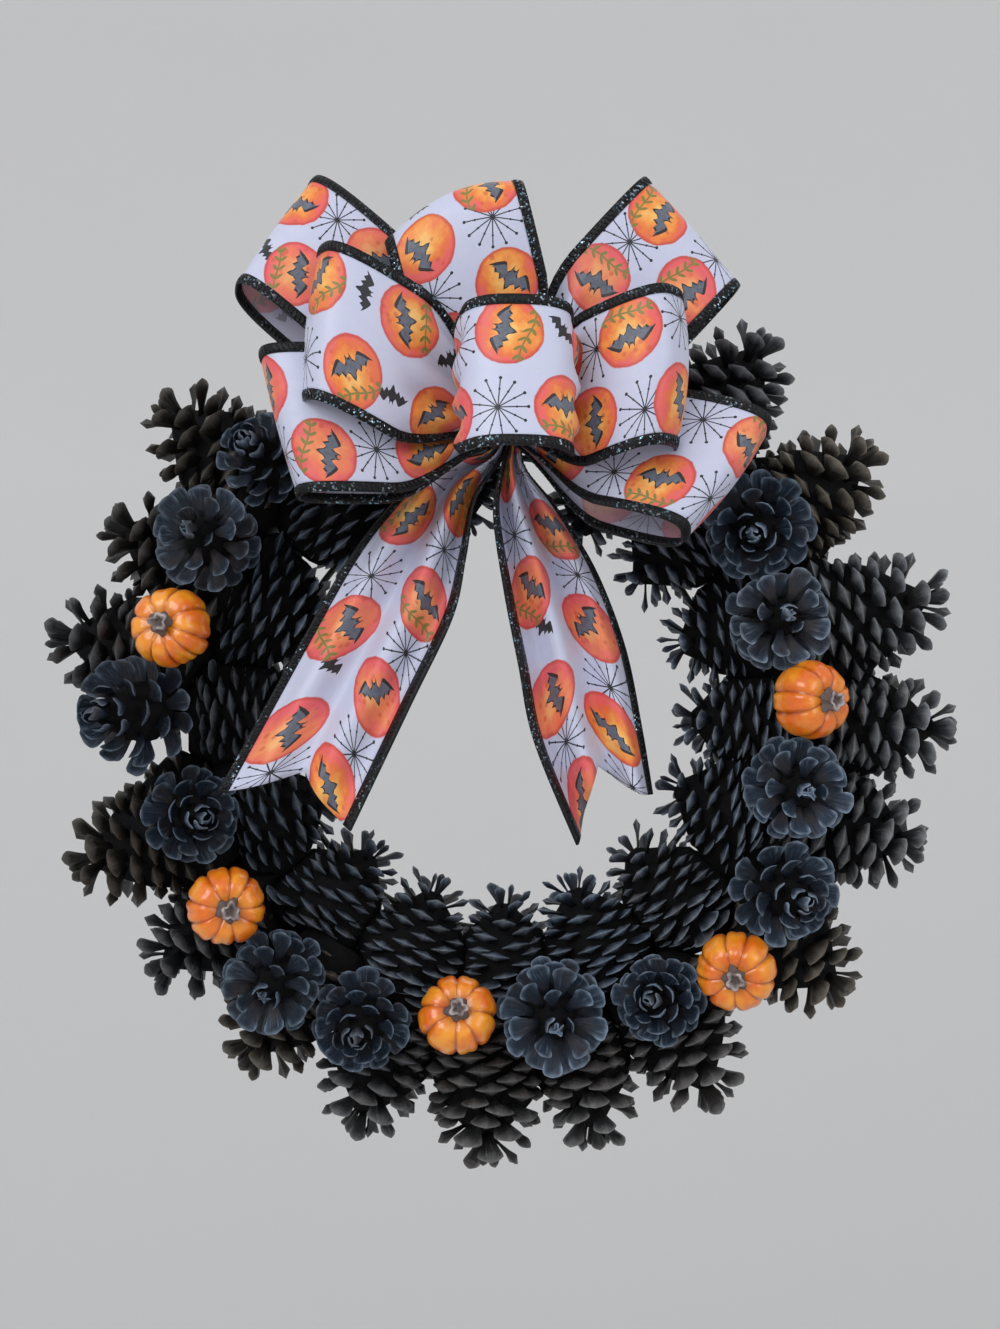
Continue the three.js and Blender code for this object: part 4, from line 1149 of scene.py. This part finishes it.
def wire_frame(enamel):
    """Four round rings welded to eight flat bars, with a bead of weld at each crossing."""
    parts = [ring_tube(radius, RING_FRONT + RING_WIRE / 2, RING_WIRE / 2) for radius in RING_RADII]
    inner = RING_RADII[0] - RING_WIRE / 2 - 1
    outer = RING_RADII[-1] + RING_WIRE / 2 + 1
    spans = [(inner, 0.7), (inner + 0.8, 1.0), (outer - 0.8, 1.0), (outer, 0.7)]
    section = [[-2.5, -2.6], [-1.9, -3.3], [1.9, -3.3], [2.5, -2.6], [2.5, -0.5], [2.0, 0], [-2.0, 0],
               [-2.5, -0.5]]
    back = np.array([0, 1, 0])
    bead_rings, bead_sides = 5, 10
    bead_long, bead_wide, bead_foot, bead_high = 2.9, 3.0, 3.2, 1.5
    for i in range(BAR_COUNT):
        angle = (i + 0.5) * FULL_TURN / BAR_COUNT
        out = np.array([math.cos(angle), 0, math.sin(angle)])
        side = np.array([-math.sin(angle), 0, math.cos(angle)])
        bar = [out * place + side * s * size + back * (d if d > -1 else -1 + (d + 1) * size)
               for place, size in spans for s, d in section]
        parts.append((bar, closed_skin(len(spans), len(section))))
        for radius in RING_RADII:
            bead = []
            for lift in np.linspace(0, math.pi / 2, bead_rings):
                for turn in FULL_TURN * np.arange(bead_sides) / bead_sides:
                    spot = out * (radius + bead_long * math.cos(lift) * math.cos(turn))
                    spot = spot + side * bead_wide * math.cos(lift) * math.sin(turn)
                    bead.append(spot + back * (-bead_foot - bead_high * math.sin(lift)))
            parts.append((bead, closed_skin(bead_rings, bead_sides)))
    piece = made("wire_frame", *gather(parts), enamel)
    fix_normals(piece)
    hand_in(piece, "frame")


def bow_tie(steel):
    """Wire wound nearly three times round the pinch, with two twisted legs that hook over a ring."""
    wire, turns = 0.62, 2.6
    coil = []
    for share in np.linspace(0, 1, 91):
        angle = math.pi / 2 + share * turns * FULL_TURN
        radius = TIE_RADIUS + 0.25 * math.sin(3 * angle)
        y = TIE_FRONT + wire + (TIE_BACK - TIE_FRONT - 2 * wire) * share
        coil.append([TIE_CENTRE[0] + radius * math.cos(angle), y, TIE_CENTRE[1] + radius * math.sin(angle)])
    parts = [tube(coil, wire, 8)]
    top = RING_RADII[1] + RING_WIRE / 2 + LEG_RADIUS + GAP
    under = RING_RADII[1] - RING_WIRE / 2 - LEG_RADIUS - GAP - 0.5
    start = TIE_CENTRE[1] + TIE_RADIUS
    behind = RING_FRONT + RING_WIRE + LEG_RADIUS + GAP + 0.15
    route = np.array([[TIE_FRONT + 1.2, start], [TIE_BACK + 6, start], [behind - 20, top],
                      [behind - 0.7, top], [behind, top - 0.7], [behind, under + 0.7],
                      [behind - 0.7, under], [behind - 8, under]])
    marks = lengths_along(route)

    def on_route(along):
        y, z = [np.interp(along, marks, column) for column in route.T]
        return np.array([TIE_CENTRE[0], y, z])

    sideways = np.array([1, 0, 0])
    strand_radius, pitch = 0.5, 7
    for phase in (0, math.pi):
        strand = []
        for along in np.linspace(0, marks[-1], 131):
            run = unit(on_route(min(along + 1, marks[-1])) - on_route(max(along - 1, 0)))
            twist = phase + along / pitch * FULL_TURN
            offset = sideways * math.cos(twist) + np.cross(run, sideways) * math.sin(twist)
            strand.append(on_route(along) + strand_radius * offset)
        parts.append(tube(strand, strand_radius, 7))
    piece = made("bow_tie_wire", *gather(parts), steel)
    fix_normals(piece)
    hand_in(piece, "bow_tie")


# Ribbons

# Pleats across a loop and a tail, rows of points along them, columns of points across the cloth and
# each trim, how far out a trim reaches, and how much further along the print the right tail begins
LOOP_PLEATS = 1.75
TAIL_PLEATS = 1.2
LOOP_ROWS = 73
TAIL_ROWS = 49
CLOTH_COLUMNS = 21
TRIM_COLUMNS = 4
TRIM_REACH = 1.012
PRINT_SHIFT = 40


def fold_depth(width, folds):
    """How deep the ribbon's pleats are where it is gathered to a narrower width."""
    slack = max(0.0, RIBBON_WIDTH / width - 1)
    return width / (math.pi * folds) * math.sqrt(slack)


def loop_surface(loop, turn, side):
    """Point of a bow loop: turn runs once round the loop, side runs from -1 to 1 across the ribbon."""
    reach = np.array(loop["end"], float) - KNOT
    length = np.linalg.norm(reach)
    u = reach / length
    facing = np.array(loop["side"], float)
    v0 = unit(facing - (facing @ u) * u)
    w0 = np.cross(u, v0)
    roll = math.radians(loop["roll"])
    v = v0 * math.cos(roll) + w0 * math.sin(roll)
    w = -v0 * math.sin(roll) + w0 * math.cos(roll)
    angle = FULL_TURN * turn
    out = 1 - ((1 + math.cos(angle)) / 2) ** loop["blunt"]
    puff = math.sin(angle) * abs(math.sin(angle / 2)) ** 0.8
    opened = float(smoothstep(out / loop["spread"]))
    half = RIBBON_WIDTH / 2 * (0.15 + 0.85 * opened)
    pleat = 0.6 * fold_depth(2 * half, LOOP_PLEATS) * math.cos(2 * LOOP_PLEATS * math.pi * side)
    pleat *= min(1, out * 6)
    crown = 1.6 * opened * (1 - side * side) * math.sin(angle)
    far = length * out + loop["lean"] * out * side * RIBBON_WIDTH / 2
    far += loop["crown"] * out ** 4 * (1 - side * side)
    return KNOT + u * far + v * (loop["open"] * puff + pleat + crown) + w * half * side


def tail_surface(tail, marks, place, s):
    """Point of a tail: place is how far along it, in millimetres, and s runs from -1 to 1 across."""
    edges = np.array(tail["edges"], float)
    last = len(edges) - 1
    i = min(max(int(np.searchsorted(marks, place)) - 1, 0), last - 1)
    f = (place - marks[i]) / (marks[i + 1] - marks[i])
    a, b, c, d = [edges[k] for k in (max(i - 1, 0), i, i + 1, min(i + 2, last))]
    left, right = 0.5 * (2 * b + (c - a) * f + (2 * a - 5 * b + 4 * c - d) * f * f
                         + (3 * b - a - 3 * c + d) * f ** 3)
    fold = fold_depth(np.linalg.norm(right - left), TAIL_PLEATS)
    fold *= math.cos(2 * TAIL_PLEATS * math.pi * (s + tail["phase"]))
    return left + (right - left) * (s + 1) / 2 + np.array([0, fold, 0])


def strip_mesh(points, thick):
    """A closed thin shell about a grid of points (rows, columns, 3)."""
    rows, columns = points.shape[:2]
    normal = np.cross(np.gradient(points, axis=1), np.gradient(points, axis=0))
    normal /= np.maximum(np.linalg.norm(normal, axis=2, keepdims=True), 1e-9)
    front = (points + normal * thick / 2).reshape(-1, 3)
    back = (points - normal * thick / 2).reshape(-1, 3)
    count = rows * columns
    faces = grid_faces(rows, columns, False)
    faces = [face[::-1] for face in faces] + [[i + count for i in face] for face in faces]
    border = list(range(columns))
    border += [columns - 1 + i * columns for i in range(1, rows)]
    border += [count - 1 - i for i in range(1, columns)]
    border += [(rows - 1 - i) * columns for i in range(1, rows - 1)]
    for a, b in zip(border, border[1:] + border[:1]):
        faces.append([a, b, b + count, a + count])
    return np.vstack([front, back]), faces


def ribbon_parts(surface, rows, start_length):
    """One stretch of ribbon, from a surface function: the grids of its cloth and of its two trims, the
    texture places of the cloth, and the length at its end."""
    turns = np.linspace(0, 1, rows)
    lengths = start_length + lengths_along([surface(t, 0.0) for t in turns])
    trim = TRIM_WIDTH / (RIBBON_WIDTH / 2)
    sides = np.linspace(-1, 1, CLOTH_COLUMNS) * (1 - trim / 2)
    cloth = np.array([[surface(t, s) for s in sides] for t in turns])
    uvs = [[length / 1000, (s + 1) / 2 * RIBBON_WIDTH / 1000] for length in lengths for s in sides]
    edges = [np.linspace(1 - trim, TRIM_REACH, TRIM_COLUMNS) * sign for sign in (-1, 1)]
    bands = [np.array([[surface(t, s) for s in spots] for t in turns]) for spots in edges]
    return cloth, bands, uvs, lengths[-1]


def stitch_tree():
    """Geometry Nodes: a raised stitch on every point of a trim."""
    sizes = ["Stitch length", "Stitch width", "Stitch height"]
    inputs = [(key, "Float") for key in (*sizes, "Slant")]
    tree, given, roots, rest, facing = new_tree("trim_stitches", [*inputs, ("Trim", "Material")])
    slant = add(tree, "ShaderNodeCombineXYZ", {2: given["Slant"]})
    slanted = add(tree, "FunctionNodeEulerToRotation", {0: slant})
    both = add(tree, "FunctionNodeRotateRotation", {0: facing, 1: slanted}, rotation_space="LOCAL")
    size = add(tree, "ShaderNodeCombineXYZ", {i: given[key] for i, key in enumerate(sizes)})
    bead = add(tree, "GeometryNodeMeshUVSphere", {"Segments": 6, "Rings": 3, "Radius": 0.5})
    real = add(tree, "GeometryNodeRealizeInstances", {"Geometry": on_points(roots, bead, both, size)})
    smooth = add(tree, "GeometryNodeSetShadeSmooth", {0: real})
    feed(tree.nodes.new("NodeGroupOutput").inputs[0], painted(join(smooth, rest), given["Trim"]))
    return tree


def stitch_places(band):
    """Where the stitches sit on both faces of a trim, and which way each lies."""
    middle = band.mean(axis=1)
    lengths = lengths_along(middle)
    spots, turns = [], []
    for place in np.arange(STITCH_PITCH / 2, lengths[-1], STITCH_PITCH):
        i = max(min(int(np.searchsorted(lengths, place)), len(middle) - 1), 1)
        share = (place - lengths[i - 1]) / max(1e-9, lengths[i] - lengths[i - 1])
        spot = middle[i - 1] * (1 - share) + middle[i] * share
        run = unit(middle[i] - middle[i - 1])
        wide = band[i][-1] - band[i][0]
        if np.linalg.norm(wide) < 0.5 * TRIM_WIDTH:
            continue
        wide = unit(wide - (wide @ run) * run)
        for face in (-1, 1):
            normal = np.cross(wide, run) * face
            axes = [wide.tolist(), np.cross(normal, wide).tolist(), normal.tolist()]
            spots.append(spot + normal * (TRIM_THICK / 2))
            turns.append(list(Matrix(axes).transposed().to_euler()))
    return spots, turns


def trim_piece(name, bands, tree, material):
    """The trims of a ribbon, with their stitches."""
    points, faces = gather([strip_mesh(band, TRIM_THICK) for band in bands])
    first = len(points)
    turns = [[0, 0, 0]] * first
    for band in bands:
        new_spots, new_turns = stitch_places(band)
        points += new_spots
        turns += new_turns
    values = {"root_turn": turns, "is_root": np.arange(len(points)) >= first}
    piece = made(name, points, faces, values=values)
    with_modifier(piece, tree, {"Stitch length": 0.0046, "Stitch width": 0.0013, "Stitch height": 0.0007,
                                "Slant": 0.45, "Trim": material})
    hand_in(piece)
    return piece


def ribbon_piece(name, cloths, uvs, bands, front, satin, edging, tree):
    """A stretch of ribbon, with its trims as a piece of their own; front says which half of each
    shell's points is its printed side, 0 or 1."""
    shells = [strip_mesh(cloth, RIBBON_THICK) for cloth in cloths]
    points, faces = gather(shells)
    halves = [front, 1 - front]
    reverse = np.concatenate([np.repeat(halves, len(shell) // 2) for shell, _ in shells])
    piece = made(name + "_ribbon", points, faces, satin, uvs=uvs, values={"reverse": reverse})
    return piece, trim_piece(name + "_trim", bands, tree, edging)


def bow(satin, edging, tree):
    """Eight loops of one ribbon, which goes back through the pinch between them."""
    cloths, bands, uvs = [], [], []
    length = 0.0
    for loop in LOOPS:
        surface = lambda t, s, loop=loop: loop_surface(loop, t, s)
        cloth, loop_bands, loop_uvs, length = ribbon_parts(surface, LOOP_ROWS, length)
        cloths.append(cloth)
        bands += loop_bands
        uvs += loop_uvs * 2
    piece, trim = ribbon_piece("bow_loops", cloths, uvs, bands, 0, satin, edging, tree)
    hand_in(piece, "bow_loops")
    return length


def tail(name, shape, satin, edging, tree, start_length):
    """One tail, cut to a notch at its end."""
    middle = np.array(shape["edges"], float).mean(axis=1)
    marks = lengths_along(middle)
    depth = (middle[-1] - shape["notch"]) @ unit(middle[-1] - middle[-2])

    def surface(t, s):
        return tail_surface(shape, marks, t * (marks[-1] - depth * (1 - min(1, abs(s)))), s)

    cloth, bands, uvs, _ = ribbon_parts(surface, TAIL_ROWS, start_length)
    piece, trim = ribbon_piece(name, [cloth], uvs * 2, bands, 1, satin, edging, tree)
    hand_in(piece, name)


# Everything in its place

paint, inside = cone_paint(), core_paint()
skin, bark = pumpkin_skin(), stem_bark()
enamel, steel = wire_enamel(), tie_steel()
satin, edging = printed_ribbon(), glitter_trim()

open_form = scale_form("open_scale", OPEN_SCALE, False)
knobbed_form = scale_form("knobbed_scale", KNOBBED_SCALE, True)
scales = scale_tree()
for number, cone in enumerate(cones):
    form = open_form if cone["name"].startswith("cone_front") else knobbed_form
    pinecone(cone, scales, form, paint, inside, number)
for form in (open_form, knobbed_form):
    bpy.data.objects.remove(form)
for number, item in enumerate(pumpkins):
    pumpkin(item, skin, number)
    pumpkin_stem(item, bark, number)
wire_frame(enamel)
bow_tie(steel)
stitches = stitch_tree()
ribbon_length = bow(satin, edging, stitches)
tail("bow_tail_left", LEFT_TAIL, satin, edging, stitches, ribbon_length)
tail("bow_tail_right", RIGHT_TAIL, satin, edging, stitches, ribbon_length + PRINT_SHIFT)


# Floor, light and camera, in metres in the row's frame

WREATH_MIDDLE = (0, -0.05, -0.16)
CAMERA_PLACE = (0, -0.7803, -0.1407)
# Each lamp: name, place, size, power, colour
LAMPS = [
    ("window", (-1.2, -2.1, 1.0), 1.5, 33, (0.93, 0.96, 1.0)),
    ("fill", (1.5, -1.6, 0.3), 1.2, 9, (0.93, 0.96, 1.0)),
    ("behind", (0.7, 1.2, 2.2), 1.2, 6, (1.0, 1.0, 1.0)),
]


def backdrop(material):
    """A pale paper floor that sweeps up far behind, the same on every side."""
    rings, sides = 24, 64
    radius = (0.3 + 5.7 * np.linspace(0, 1, rings) ** 1.2)[:, None]
    height = -1.5 + 0.26 * np.maximum(0.0, radius - 1.8) ** 2
    angle = FULL_TURN * np.arange(sides) / sides
    points = np.stack([radius * np.cos(angle), radius * np.sin(angle), height + 0 * angle], axis=2)
    faces = grid_faces(rings, sides) + [list(range(sides))[::-1]]
    mesh = bpy.data.meshes.new("floor")
    mesh.from_pydata(points.reshape(-1, 3).tolist(), [], [face[::-1] for face in faces])
    mesh.shade_smooth()
    mesh.materials.append(material)
    in_scene("floor", mesh)


backdrop(floor_paper())
for name, place, size, power, colour in LAMPS:
    lamp = bpy.data.lights.new(name, "AREA")
    lamp.shape = "SQUARE"
    lamp.size = size
    lamp.energy = power
    lamp.color = colour
    light = in_scene(name, lamp)
    light.location = place
    light.rotation_euler = (Vector(WREATH_MIDDLE) - Vector(place)).to_track_quat("-Z", "Y").to_euler()

scene = bpy.context.scene
scene.world = bpy.data.worlds.new("studio")
scene.world.use_nodes = True
daylight = scene.world.node_tree.nodes["Background"]
daylight.inputs[0].default_value = (0.97, 0.98, 1.0, 1)
daylight.inputs[1].default_value = 0.68
scene.view_settings.view_transform = "Standard"

lens = bpy.data.cameras.new("camera")
lens.lens = 41.2
lens.clip_start = 0.05
camera = in_scene("camera", lens)
camera.location = CAMERA_PLACE
camera.rotation_euler = (math.pi / 2, 0, 0)
scene.camera = camera
